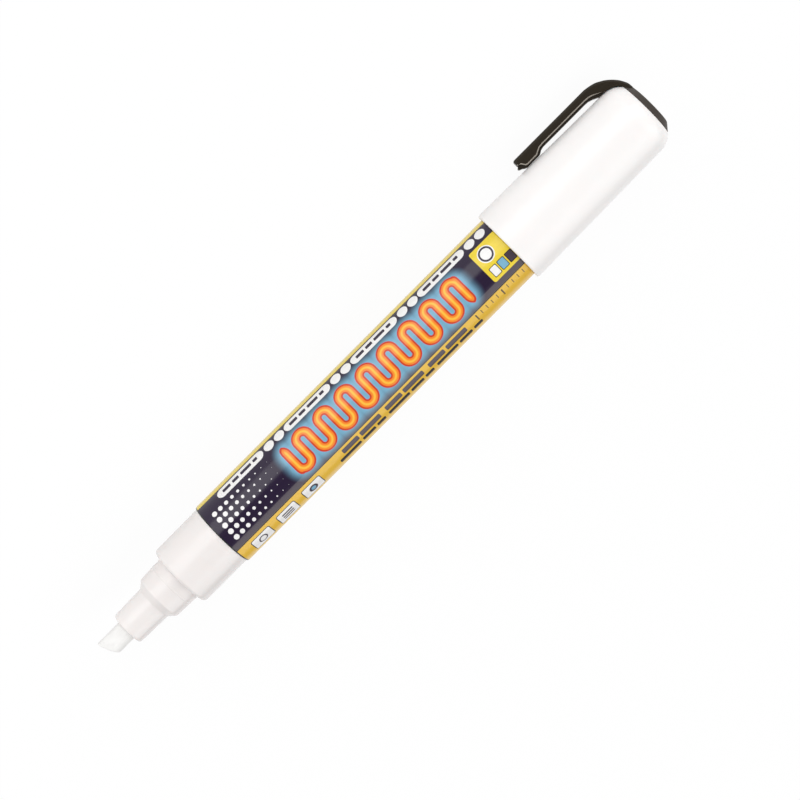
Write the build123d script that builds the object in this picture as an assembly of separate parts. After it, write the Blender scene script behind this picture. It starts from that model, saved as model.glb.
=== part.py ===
from build123d import *
import math
import os

# Valve-action liquid chalk marker with its cap posted on the rear end. Lengths are in millimetres.
# It is drawn along X: the nib points to +X, the label's front edge is at X = 0 and the clip points to -Z.
# At the end the whole marker is rolled onto its clip, as it lies on a table.

# Fits
press_gap = 0.02
running_gap = 0.05
valve_gap = 0.05
ball_gap = 0.15
cut_margin = 2.0

# Barrel and label
barrel_bore = 13.0
barrel_wall = 0.95
seat_step = 0.35
label_length = 86.4
label_film = 0.12
lead_drop = 0.1
lead_length = 0.6
lead_margin = 0.3
tail_length = 11.4
tail_chamfer = 0.5

# Tail plug
tail_plug_length = 7.0
tail_plug_wall = 1.3
tail_plug_floor = 1.4
tail_flange_step = 0.3
tail_flange = 1.2
tail_flange_edge = 0.4

# Nose section, from its plug in the barrel to its front face
nose_plug_past = 1.5
nose_plug_chamfer = 0.4
collar_length = 12.6
collar_draft = 0.05
collar_edge = 0.8
base_length = 6.1
base_wall = 1.3
base_draft = 0.225
bead_setback = 2.2
bead_width = 0.4
bead_slope = 0.12
bead_height = 0.06
cone_length = 1.6
tube_length = 7.9
tube_wall = 1.525
tube_draft = 0.2
tube_edge = 0.45
guide_length = 8.7
guide_taper = 2.2
guide_rib_count = 4
guide_rib_width = 1.2
guide_rib_bite = 0.15
guide_rib_front = 2.1
guide_rib_rear = 0.8

# Nib
nib_dia = 4.6
nib_shown = 6.8
nib_slant = 2.1
nib_bevel = 2.8
nib_edge = 2.6
nib_round = 0.3
nib_travel = 2.5
nib_spare = 0.4

# Valve
valve_wall = 1.28
valve_front = 2.5
washer_seat = 0.9
washer_thickness = 1.6
washer_hole = 3.8
case_length = 14.4
case_wall = 0.8
case_floor = 1.2
port_count = 4
port_dia = 1.8
port_margin = 0.28
pin_dia = 2.4
head_dia = 6.2
head_thickness = 1.4
head_taper = 0.5
rod_dia = 2.2
rod_end = 0.4
rod_chamfer = 0.5
wire_dia = 0.55
coil_dia = 4.6
coil_turns = 6
arcs_per_turn = 4
points_per_turn = 36

# Mixing ball
ball_dia = 6.0

# Cap
cap_length = 40.1
cap_wall = 0.95
cap_draft = 0.45
shoulder_length = 3.6
shoulder_fall = 1.65
label_cover = 1.8
mouth_gap = 0.15
mouth_depth = 2.0
mouth_edge = 0.3
grip_setback = 6.1
grip_lead = 0.4
end_wall = 1.75
peg_dia = 5.0

# Cap liner
liner_gap = 0.3
liner_flange = 1.8
liner_room = 0.15
liner_wall = 0.7
liner_floor = 0.9
liner_lip_height = 0.225
liner_lip_setback = 1.4
liner_lip = 1.0

# Clip: depths run from the cap's mouth, radii from the marker's axis
crown_height = 1.5
crown_bevel = 1.75
crown_edge = 0.45
clip_width = 4.4
clip_edge = 0.45
clip_corner_round = 0.8
clip_tip = 13.1
clip_stand = 2.88
plate_thickness = 1.58
rib_width = 3.0
rib_height = 0.65
lip_reach = 0.35
lip_drop = 0.3
pad_setback = 1.2
pad_length = 4.0
pad_taper = 1.2
pad_gap = 0.1
foot_margin = 0.1
foot_length = 1.1
gusset_length = 2.1
strap_lead = 0.7
strap_bite = 0.45
strap_depth_shares = (0.310, 0.474, 0.596, 0.731, 0.852, 0.936, 0.987)
strap_radius_shares = (0.932, 0.844, 0.759, 0.628, 0.473, 0.313, 0.168)

# Diameters, from the bore outwards and from the nib outwards
seat_dia = barrel_bore + barrel_wall * 2
label_dia = seat_dia + seat_step * 2
plug_dia = barrel_bore - press_gap * 2
valve_bore = plug_dia - valve_wall * 2
buffer_dia = valve_bore - washer_seat * 2
base_rear_dia = buffer_dia + base_wall * 2
base_front_dia = base_rear_dia - base_draft * 2
collar_front_dia = seat_dia - collar_draft * 2
tube_front_dia = nib_dia + running_gap * 2 + tube_wall * 2
tube_rear_dia = tube_front_dia + tube_draft * 2
liner_bore = base_rear_dia + liner_room * 2
cap_mouth_dia = label_dia + mouth_gap * 2 + cap_wall * 2
cap_shoulder_dia = cap_mouth_dia - cap_draft * 2
cap_end_dia = cap_shoulder_dia - shoulder_fall * 2
crown_top_dia = cap_end_dia - crown_bevel * 2

# Radii and depths of the clip
clip_outer = cap_mouth_dia / 2 + clip_stand
plate_inner = clip_outer - plate_thickness
rib_inner = plate_inner - rib_height
pad_front = clip_tip + pad_setback
pad_rear = pad_front + pad_length
plate_foot = cap_length - shoulder_length - foot_margin
gusset_end = plate_foot - foot_length
arm_root = gusset_end - gusset_length
strap_start = arm_root + strap_lead

# Stations along X
tail_x = -label_length - tail_length
tail_back_x = tail_x - tail_flange
base_x = collar_length + base_length
cone_x = base_x + cone_length
nose_x = cone_x + tube_length
tip_x = nose_x + nib_shown
nib_rear = valve_front + nib_travel + nib_spare
washer_x = valve_front - washer_thickness
case_x = washer_x - case_length
plug_x = case_x - nose_plug_past
head_x = washer_x - valve_gap
mouth_x = label_cover - label_length
lead_x = mouth_x + lead_margin
lead_end_x = lead_x - lead_length
end_x = mouth_x - cap_length
crown_x = end_x - crown_height
ball_front_x = plug_x - ball_gap - ball_dia / 2
ball_rear_x = tail_x + tail_plug_length + ball_gap + ball_dia / 2
arm_x = mouth_x - arm_root

# The marker rolls until the clip's rounded outer corner is level with the cap's lowest line.
corner_out = clip_outer - clip_edge
corner_side = clip_width / 2 - clip_edge
corner_fall = math.acos((cap_mouth_dia / 2 - clip_edge) / math.hypot(corner_out, corner_side))
roll = math.degrees(corner_fall + math.atan(corner_side / corner_out))


def turned(points):
    """A solid turned round X from (x, radius) points."""
    return revolve(make_face(Polyline(*points, close=True)), Axis.X)


def rounded(face, x, radius, size):
    """The profile with its corner at (x, radius) rounded."""
    corner = face.vertices().sort_by_distance((x, radius, 0))[0]
    return fillet(corner, size)


def bar(x_start, x_end, dia):
    """A round bar along X."""
    return turned([(x_start, 0), (x_end, 0), (x_end, dia / 2), (x_start, dia / 2)])


def across(face, width):
    """A face drawn in the clip's plane, made as wide as asked and centred on that plane."""
    return extrude(Plane.XZ.offset(-width / 2) * face, width, dir=(0, -1, 0))


def slab(points, width):
    """A plate across the clip's plane, from (depth, radius) points."""
    outline = [(mouth_x - depth, -radius) for depth, radius in points]
    return across(make_face(Polyline(*outline, close=True)), width)


def cap_radius(depth):
    """The cap's outer radius on its tapered side."""
    share = depth / (cap_length - shoulder_length)
    return (cap_mouth_dia + (cap_shoulder_dia - cap_mouth_dia) * share) / 2


def barrel_tube():
    body = label_dia / 2 - label_film - press_gap
    lead = body - lead_drop
    seat = seat_dia / 2
    bore = barrel_bore / 2
    return turned([
        (0, bore),
        (0, body),
        (lead_x, body),
        (lead_end_x, lead),
        (-label_length, lead),
        (-label_length, seat),
        (tail_x + tail_chamfer, seat),
        (tail_x, seat - tail_chamfer),
        (tail_x, bore),
    ])


def barrel_label():
    outer = label_dia / 2
    inner = outer - label_film
    return turned([
        (0, inner),
        (0, outer),
        (lead_x, outer),
        (lead_end_x, outer - lead_drop),
        (-label_length, outer - lead_drop),
        (-label_length, inner - lead_drop),
        (lead_end_x, inner - lead_drop),
        (lead_x, inner),
    ])


def tail_plug():
    plug = plug_dia / 2
    flange = seat_dia / 2 - tail_flange_step
    front = tail_x + tail_plug_length
    well = plug - tail_plug_wall
    return turned([
        (front, well),
        (front, plug),
        (tail_x, plug),
        (tail_x, flange),
        (tail_back_x + tail_flange_edge, flange),
        (tail_back_x, flange - tail_flange_edge),
        (tail_back_x, 0),
        (tail_back_x + tail_plug_floor, 0),
        (tail_back_x + tail_plug_floor, well),
    ])


def nose_section():
    plug = plug_dia / 2
    valve = valve_bore / 2
    room = buffer_dia / 2
    guide = nib_dia / 2 + running_gap
    bead_x = collar_length + bead_setback
    bead_end = bead_x + bead_width
    fall = (base_rear_dia - base_front_dia) / 2 / base_length
    bead_rear = base_rear_dia / 2 - fall * bead_setback
    bead_front = bead_rear - fall * bead_width
    guide_x = nose_x - guide_length
    face = make_face(Polyline(
        (plug_x, valve),
        (plug_x, plug - nose_plug_chamfer),
        (plug_x + nose_plug_chamfer, plug),
        (0, plug),
        (0, seat_dia / 2),
        (collar_length, collar_front_dia / 2),
        (collar_length, base_rear_dia / 2),
        (bead_x, bead_rear),
        (bead_x + bead_slope, bead_rear + bead_height),
        (bead_end - bead_slope, bead_rear + bead_height),
        (bead_end, bead_front),
        (base_x, base_front_dia / 2),
        (cone_x, tube_rear_dia / 2),
        (nose_x, tube_front_dia / 2),
        (nose_x, guide),
        (guide_x, guide),
        (guide_x - guide_taper, room),
        (valve_front, room),
        (valve_front, valve),
        close=True,
    ))
    face = rounded(face, collar_length, collar_front_dia / 2, collar_edge)
    face = rounded(face, nose_x, tube_front_dia / 2, tube_edge)
    nose = revolve(face, Axis.X)
    rib_x = nib_rear + guide_rib_rear
    rib = Box(
        guide_x - guide_taper - guide_rib_front - rib_x,
        guide_rib_width,
        room + guide_rib_bite - guide,
        align=(Align.MIN, Align.CENTER, Align.MIN),
    )
    for i in range(guide_rib_count):
        nose += Rot(360 / guide_rib_count * i, 0, 0) * Pos(rib_x, 0, guide) * rib
    return nose


def nib():
    r = nib_dia / 2
    rod = bar(nib_rear, tip_x, nib_dia)
    reach = r + cut_margin
    run = nib_slant * reach / nib_dia
    middle = tip_x - nib_slant / 2
    slant = make_face(Polyline(
        (middle + run, -reach),
        (middle - run, reach),
        (tip_x + reach, reach),
        (tip_x + reach, -reach),
        close=True,
    ))
    rod -= across(slant, reach * 2)
    bevel = make_face(Polyline(
        (tip_x - nib_bevel, r),
        (tip_x, nib_edge / 2),
        (tip_x, reach),
        (tip_x - nib_bevel, reach),
        close=True,
    ))
    side = extrude(bevel, reach, both=True)
    rod -= side
    rod -= mirror(side, Plane.XZ)
    tip = rod.faces().sort_by(Axis.X)[-1]
    return fillet(tip.edges(), nib_round)


def valve_seat():
    outer = valve_bore / 2 - press_gap
    inner = washer_hole / 2
    return turned([(washer_x, inner), (washer_x, outer), (valve_front, outer), (valve_front, inner)])


def valve_case():
    outer = valve_bore / 2 - press_gap
    inner = outer - case_wall
    hole = rod_dia / 2 + running_gap
    floor_x = case_x + case_floor
    case = turned([
        (case_x, hole),
        (case_x, outer),
        (washer_x, outer),
        (washer_x, inner),
        (floor_x, inner),
        (floor_x, hole),
    ])
    port = bar(case_x - cut_margin, floor_x + cut_margin, port_dia)
    port_radius = inner - port_margin - port_dia / 2
    for i in range(port_count):
        case -= Rot(360 / port_count * i, 0, 0) * Pos(0, 0, port_radius) * port
    return case


def valve_stem():
    back = head_x - head_thickness
    pin_x = nib_rear - valve_gap
    end = case_x - rod_end
    return turned([
        (pin_x, 0),
        (pin_x, pin_dia / 2),
        (head_x, pin_dia / 2),
        (head_x, head_dia / 2 - head_taper),
        (head_x - head_taper, head_dia / 2),
        (back, head_dia / 2),
        (back, rod_dia / 2),
        (end + rod_chamfer, rod_dia / 2),
        (end, rod_dia / 2 - rod_chamfer),
        (end, 0),
    ])


def coil_point(turn, start_x, pitch):
    """A point on the spring's centre line."""
    angle = 2 * math.pi * turn
    return Vector(start_x - pitch * turn, coil_dia / 2 * math.cos(angle), coil_dia / 2 * math.sin(angle))


def coil_tangent(turn, pitch):
    """The spring's direction at a point on its centre line."""
    angle = 2 * math.pi * turn
    around = math.pi * coil_dia
    return Vector(-pitch, -around * math.sin(angle), around * math.cos(angle)).normalized()


def biarc(p0, t0, p1, t1):
    """Two arcs that leave p0 along t0 and reach p1 along t1."""
    span = p1 - p0
    along = span.dot(t0 + t1)
    bend = 2 * (1 - t0.dot(t1))
    reach = (math.sqrt(along ** 2 + bend * span.dot(span)) - along) / bend
    middle = (p0 + p1 + (t0 - t1) * reach) / 2
    first = Edge.make_tangent_arc(p0, t0, middle)
    return [first, Edge.make_tangent_arc(middle, first % 1, p1)]


def valve_spring():
    front = head_x - head_thickness - valve_gap - wire_dia / 2
    back = case_x + case_floor + valve_gap + wire_dia / 2
    pitch = (front - back) / coil_turns
    edges = []
    for i in range(coil_turns * arcs_per_turn):
        a = i / arcs_per_turn
        b = (i + 1) / arcs_per_turn
        ends = (coil_point(a, front, pitch), coil_point(b, front, pitch))
        edges += biarc(ends[0], coil_tangent(a, pitch), ends[1], coil_tangent(b, pitch))
    count = coil_turns * points_per_turn + 1
    points = [coil_point(i / points_per_turn, front, pitch) for i in range(count)]
    half_turn = points_per_turn // 2
    pairs = ((p, q) for i, p in enumerate(points) for q in points[i + half_turn:])
    print("valve_spring least gap", round(min((p - q).length for p, q in pairs) - wire_dia, 2))
    path = Wire(edges)
    section = Plane(origin=path @ 0, z_dir=path % 0) * Circle(wire_dia / 2)
    return sweep(section, path)


def mixing_ball():
    drop = (barrel_bore - ball_dia) / 2 - ball_gap
    down = Rot(roll, 0, 0) * Pos(0, 0, -drop)
    return Pos(ball_front_x, 0, 0) * down * Sphere(ball_dia / 2)


def cap_shell():
    mouth = label_dia / 2 + mouth_gap
    grip = seat_dia / 2 + running_gap
    seat = liner_bore / 2 + liner_wall + press_gap
    hole = peg_dia / 2 + press_gap
    grip_x = end_x + grip_setback
    step_x = mouth_x - mouth_depth
    shoulder_x = end_x + shoulder_length
    lines = Polyline(
        (end_x, cap_end_dia / 2),
        (end_x, hole),
        (end_x + end_wall, hole),
        (end_x + end_wall, seat),
        (grip_x, seat),
        (grip_x, grip),
        (step_x - grip_lead, grip),
        (step_x, grip + grip_lead),
        (step_x, mouth),
        (mouth_x, mouth),
        (mouth_x, cap_mouth_dia / 2),
        (shoulder_x, cap_shoulder_dia / 2),
    )
    taper = (shoulder_x - mouth_x, (cap_shoulder_dia - cap_mouth_dia) / 2)
    shoulder = TangentArc((shoulder_x, cap_shoulder_dia / 2), (end_x, cap_end_dia / 2), tangent=taper)
    face = make_face([lines, shoulder])
    face = rounded(face, mouth_x, cap_mouth_dia / 2, mouth_edge)
    return revolve(face, Axis.X)


def cap_liner():
    open_x = tail_back_x - liner_gap
    back = end_x + end_wall + press_gap
    bore = liner_bore / 2
    body = bore + liner_wall
    flange = seat_dia / 2 + running_gap - press_gap
    lip_x = open_x - liner_lip_setback
    return turned([
        (open_x, bore),
        (open_x, flange),
        (open_x - liner_flange, flange),
        (open_x - liner_flange, body),
        (back, body),
        (back, 0),
        (back + liner_floor, 0),
        (back + liner_floor, bore),
        (lip_x - liner_lip, bore),
        (lip_x - liner_lip / 2, bore - liner_lip_height),
        (lip_x, bore),
    ])


def clip_plate():
    """The strap and arm's outer plate, tip to crown, before it is parted."""
    over = cap_radius(plate_foot) + press_gap
    top = crown_top_dia / 2
    strap_x = mouth_x - strap_start
    outline = [(strap_x, -clip_outer)]
    for along, out in zip(strap_depth_shares, strap_radius_shares):
        outline.append((strap_x + (crown_x - strap_x) * along, -top - (clip_outer - top) * out))
    outline.append((crown_x, -top))
    curve = Spline(*outline, tangents=[(-1, 0), (0, 1)])
    lines = Polyline(
        (crown_x, -top),
        (crown_x, strap_bite - top),
        (end_x - press_gap, strap_bite - top),
        (end_x - press_gap, -cap_end_dia / 2 - press_gap),
    )
    taper = (end_x + shoulder_length, -cap_shoulder_dia / 2 - press_gap)
    shoulder = TangentArc(
        taper,
        (end_x - press_gap, -cap_end_dia / 2 - press_gap),
        tangent=(-cap_length + shoulder_length, (cap_mouth_dia - cap_shoulder_dia) / 2),
    )
    under = Polyline(
        taper,
        (mouth_x - plate_foot, -over),
        (mouth_x - gusset_end, -plate_inner + (plate_inner - over) / 2),
        (strap_x, -plate_inner),
        (mouth_x - clip_tip, -plate_inner),
        (mouth_x - clip_tip, -clip_outer),
        (strap_x, -clip_outer),
    )
    face = make_face([curve, lines, shoulder, under])
    return across(face, clip_width)


def clip_rib():
    """The narrower rib under the plate, with the pad at its tip and the gusset at its root."""
    pad = cap_radius(pad_rear) + pad_gap
    foot = cap_radius(gusset_end) + press_gap
    return slab([
        (clip_tip, plate_inner),
        (clip_tip - lip_reach, plate_inner - lip_drop),
        (pad_front, pad),
        (pad_rear, pad),
        (pad_rear + pad_taper, rib_inner),
        (arm_root, rib_inner),
        (gusset_end, foot),
        (plate_foot, foot),
        (plate_foot, plate_inner),
    ], rib_width)


def clip_whole():
    """The strap, arm and pad as moulded, before the arm is parted from the crown."""
    plate = clip_plate()
    plate = fillet(plate.edges().filter_by(Axis.Z).group_by(Axis.X)[-1], clip_corner_round)
    arm_top = plate.faces().sort_by(Axis.Z)[0].edges()
    strap_top = plate.edges().filter_by(GeomType.BSPLINE)
    joint_line = arm_top.filter_by(Axis.Y).sort_by(Axis.X)[0]
    plate = fillet([e for e in arm_top if e != joint_line] + list(strap_top), clip_edge)
    return plate + clip_rib()


def crown():
    """The disc on the cap's end, and its peg."""
    base = end_x - press_gap
    face = make_face(Polyline(
        (crown_x, 0),
        (crown_x, crown_top_dia / 2),
        (base, cap_end_dia / 2),
        (base, peg_dia / 2),
        (end_x + end_wall, peg_dia / 2),
        (end_x + end_wall, 0),
        close=True,
    ))
    face = rounded(face, crown_x, crown_top_dia / 2, crown_edge)
    return revolve(face, Axis.X)


def arm_half():
    """The space on the arm's side of the parting plane."""
    size = cap_length
    return Pos(arm_x, 0, 0) * Box(size, size, size * 2, align=(Align.MIN, Align.CENTER, Align.CENTER))


def clip_crown():
    return crown() + (clip_whole() - arm_half())


def clip_arm():
    return clip_whole() & arm_half()


makers = (
    barrel_tube,
    barrel_label,
    tail_plug,
    nose_section,
    nib,
    valve_seat,
    valve_case,
    valve_stem,
    valve_spring,
    mixing_ball,
    cap_shell,
    cap_liner,
    clip_crown,
    clip_arm,
)

rolled = {maker.__name__: Rot(-roll, 0, 0) * maker() for maker in makers}
boxes = [shape.bounding_box() for shape in rolled.values()]
low = [min(getattr(box.min, axis) for box in boxes) for axis in "XYZ"]
high = [max(getattr(box.max, axis) for box in boxes) for axis in "XYZ"]
axis_at = (-(low[0] + high[0]) / 2, -(low[1] + high[1]) / 2, -low[2])
for name, shape in rolled.items():
    export_step(Pos(*axis_at) * shape, f"parts/{name}.step")
print("roll", round(roll, 4))
print("ball travel", round(ball_front_x - ball_rear_x, 3))
print("axis at", [round(v, 4) for v in axis_at])
print("size", [round(b - a, 3) for a, b in zip(low, high)])
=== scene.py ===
import logging
import math
from dataclasses import dataclass, replace
from enum import Enum
from typing import Iterable, Sequence

import bmesh
import bpy
import numpy as np
from mathutils import Matrix, Vector


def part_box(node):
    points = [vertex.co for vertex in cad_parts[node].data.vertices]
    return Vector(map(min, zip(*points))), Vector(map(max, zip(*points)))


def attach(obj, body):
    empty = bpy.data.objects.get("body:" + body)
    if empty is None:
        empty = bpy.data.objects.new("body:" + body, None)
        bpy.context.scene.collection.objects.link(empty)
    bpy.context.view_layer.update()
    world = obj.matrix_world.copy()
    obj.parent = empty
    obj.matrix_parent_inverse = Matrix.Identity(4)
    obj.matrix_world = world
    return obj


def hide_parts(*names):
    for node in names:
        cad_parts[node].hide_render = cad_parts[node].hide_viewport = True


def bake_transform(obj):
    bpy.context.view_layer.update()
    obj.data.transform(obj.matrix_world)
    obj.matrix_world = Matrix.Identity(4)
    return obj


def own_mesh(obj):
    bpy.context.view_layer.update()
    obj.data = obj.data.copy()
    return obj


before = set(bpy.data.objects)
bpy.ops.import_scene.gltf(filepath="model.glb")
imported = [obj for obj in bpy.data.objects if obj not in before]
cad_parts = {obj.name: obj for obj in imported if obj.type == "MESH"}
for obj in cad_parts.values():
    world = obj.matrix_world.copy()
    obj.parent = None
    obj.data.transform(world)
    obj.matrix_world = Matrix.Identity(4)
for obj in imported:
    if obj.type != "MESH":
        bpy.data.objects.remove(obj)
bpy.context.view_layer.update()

# A valve-action liquid chalk marker with its cap posted on the rear end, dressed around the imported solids.
# Sizes are in millimetres in the marker's own directions: X runs along its axis to the nib from the label's
# front edge, the clip points to -Z. MarkerFrame takes them to where the marker lies on its clip, in metres.

MM = 0.001
WELD = 1e-7
STEEL_SHADE = 0.86
LOG = logging.getLogger("chalk_marker")

# The curve between a screen's values and linear light
SCREEN_KNEE = 0.04045
SCREEN_SLOPE = 12.92
SCREEN_SHIFT = 0.055
SCREEN_POWER = 2.4

Socket = bpy.types.NodeSocket
Tree = bpy.types.NodeTree
Material = bpy.types.Material
Piece = bpy.types.Object
BMesh = bmesh.types.BMesh
Point = tuple[float, float]
Triple = tuple[float, float, float]
Colour = tuple[float, float, float, float]
Feed = Socket | float | int | Sequence[float]
Feeds = dict[str | int, Feed]


def ink(*levels: int) -> Colour:
    """A colour given as it is seen on a screen, as the linear values that a shader takes.

    Args:
        *levels: Red, green and blue from 0 to 255.

    Returns:
        The linear colour, opaque.
    """
    linear = []
    for share in (level / 255 for level in levels):
        curved = ((share + SCREEN_SHIFT) / (1 + SCREEN_SHIFT)) ** SCREEN_POWER
        linear.append(share / SCREEN_SLOPE if share <= SCREEN_KNEE else curved)
    return (*linear, 1.0)


def dimmed(colour: Colour, share: float) -> Colour:
    """A colour at a share of its brightness."""
    return (*(share * part for part in colour[:3]), 1.0)


class Ink(Enum):
    """The colours of the label's print."""

    NAVY = ink(31, 14, 47)
    YELLOW = ink(236, 190, 56)
    LEMON = ink(240, 213, 62)
    GREY = ink(72, 62, 73)
    BLUE = ink(126, 180, 208)
    ORANGE = ink(250, 138, 44)
    AMBER = ink(255, 200, 70)
    RED = ink(208, 56, 30)
    WHITE = ink(246, 245, 244)
    BLACK = ink(24, 20, 30)
    EDGE = ink(30, 38, 38)


@dataclass(frozen=True)
class MarkerFrame:
    """Where the marker lies: its axis runs along X, rolled onto the clip.

    The origin is in metres and the roll, from straight down to the clip's side, in radians.
    """

    front: float
    axis_y: float
    axis_z: float
    roll: float = math.radians(51.2982)

    @classmethod
    def from_label(cls) -> "MarkerFrame":
        """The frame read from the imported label, whose front edge is the marker's zero."""
        low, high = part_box("barrel_label")
        return cls(high[0], (low[1] + high[1]) / 2, (low[2] + high[2]) / 2)

    @property
    def origin(self) -> Vector:
        """The axis point at the label's front edge."""
        return Vector((self.front, self.axis_y, self.axis_z))

    @property
    def clip_side(self) -> Vector:
        """The direction from the axis to the clip."""
        return Vector((0, -math.sin(self.roll), -math.cos(self.roll)))

    @property
    def shown_side(self) -> Vector:
        """The direction from the axis to the side that shows the clip in profile."""
        return Vector((0, -math.cos(self.roll), math.sin(self.roll)))

    def at(self, x: float, y: float, z: float) -> Vector:
        """Where a point lies, from its places along the axis, away from the shown side and from the clip."""
        side = -self.shown_side * (y * MM)
        return self.origin + Vector((x * MM, 0, 0)) + side - self.clip_side * (z * MM)


PLACE = MarkerFrame.from_label()


# Node trees


class Graph:
    """Short calls for writing one node tree."""

    # Numbers of a Mix node's colour sockets, whose names it also gives to others
    MASK, UNDER, OVER, MIXED = 0, 6, 7, 2

    def __init__(self, tree: Tree) -> None:
        """Starts on a tree."""
        self.tree = tree

    def add(self, kind: str, **settings: object) -> bpy.types.Node:
        """Adds a node.

        Args:
            kind: The node's type name.
            **settings: Properties of the node.

        Returns:
            The new node.
        """
        node = self.tree.nodes.new(kind)
        for key, value in settings.items():
            setattr(node, key, value)
        return node

    def feed(self, socket: Socket, value: Feed) -> None:
        """Feeds a socket.

        Args:
            socket: The socket.
            value: The output that it is linked to, or a value of its own.
        """
        if isinstance(value, Socket):
            self.tree.links.new(value, socket)
        else:
            socket.default_value = value

    def call(self, kind: str, feeds: Feeds, out: int | str = 0, **settings: object) -> Socket:
        """Adds a node and feeds its inputs.

        Args:
            kind: The node's type name.
            feeds: What each input takes, by its name or number.
            out: The output that is wanted.
            **settings: Properties of the node.

        Returns:
            That output.
        """
        node = self.add(kind, **settings)
        for key, value in feeds.items():
            self.feed(node.inputs[key], value)
        return node.outputs[out]

    def math(self, operation: str, *values: Feed, clamp: bool = False) -> Socket:
        """The result of a Math node."""
        feeds = dict(enumerate(values))
        return self.call("ShaderNodeMath", feeds, operation=operation, use_clamp=clamp)

    def vector(self, operation: str, *values: Feed, out: int | str = 0) -> Socket:
        """The result of a Vector Math node."""
        return self.call("ShaderNodeVectorMath", dict(enumerate(values)), out, operation=operation)

    def hypot(self, *sides: Feed) -> Socket:
        """The long side of a right triangle, from the other two."""
        squares = [self.math("MULTIPLY", side, side) for side in sides]
        return self.math("SQRT", self.math("ADD", *squares))

    def ramp(self, value: Feed, start: float, end: float) -> Socket:
        """A smooth rise from 0 at start to 1 at end."""
        feeds = dict(enumerate((value, start, end)))
        return self.call("ShaderNodeMapRange", feeds, interpolation_type="SMOOTHSTEP")

    def edge(self, depth: Feed, soft: Feed) -> Socket:
        """A mask that rises from 0 to 1 over a soft width, where a depth passes zero."""
        return self.math("ADD", self.math("DIVIDE", depth, soft), 0.5, clamp=True)

    def mix(self, mask: Feed, under: Feed, over: Feed) -> Socket:
        """Colour under, covered by colour over where the mask is 1."""
        feeds = {self.MASK: mask, self.UNDER: under, self.OVER: over}
        return self.call("ShaderNodeMix", feeds, self.MIXED, data_type="RGBA")

    def group(self, tree: Tree, feeds: Feeds) -> bpy.types.bpy_prop_collection:
        """The outputs of a shader group that is placed and fed."""
        return self.call("ShaderNodeGroup", feeds, node_tree=tree).node.outputs


class EffectGroup(Graph):
    """A shader node group with named inputs and outputs."""

    def __init__(self, name: str, inputs: Iterable[str], outputs: Iterable[str]) -> None:
        """Starts the group.

        Args:
            name: The group's name.
            inputs: Names of its number inputs.
            outputs: Names of its number outputs.
        """
        super().__init__(bpy.data.node_groups.new(name, "ShaderNodeTree"))
        for side, names in (("INPUT", inputs), ("OUTPUT", outputs)):
            for item in names:
                self.tree.interface.new_socket(item, in_out=side, socket_type="NodeSocketFloat")
        self.inputs = self.add("NodeGroupInput").outputs
        self.outputs = self.add("NodeGroupOutput").inputs

    def put(self, name: str, value: Feed) -> None:
        """Feeds one of the group's outputs."""
        self.feed(self.outputs[name], value)


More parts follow.
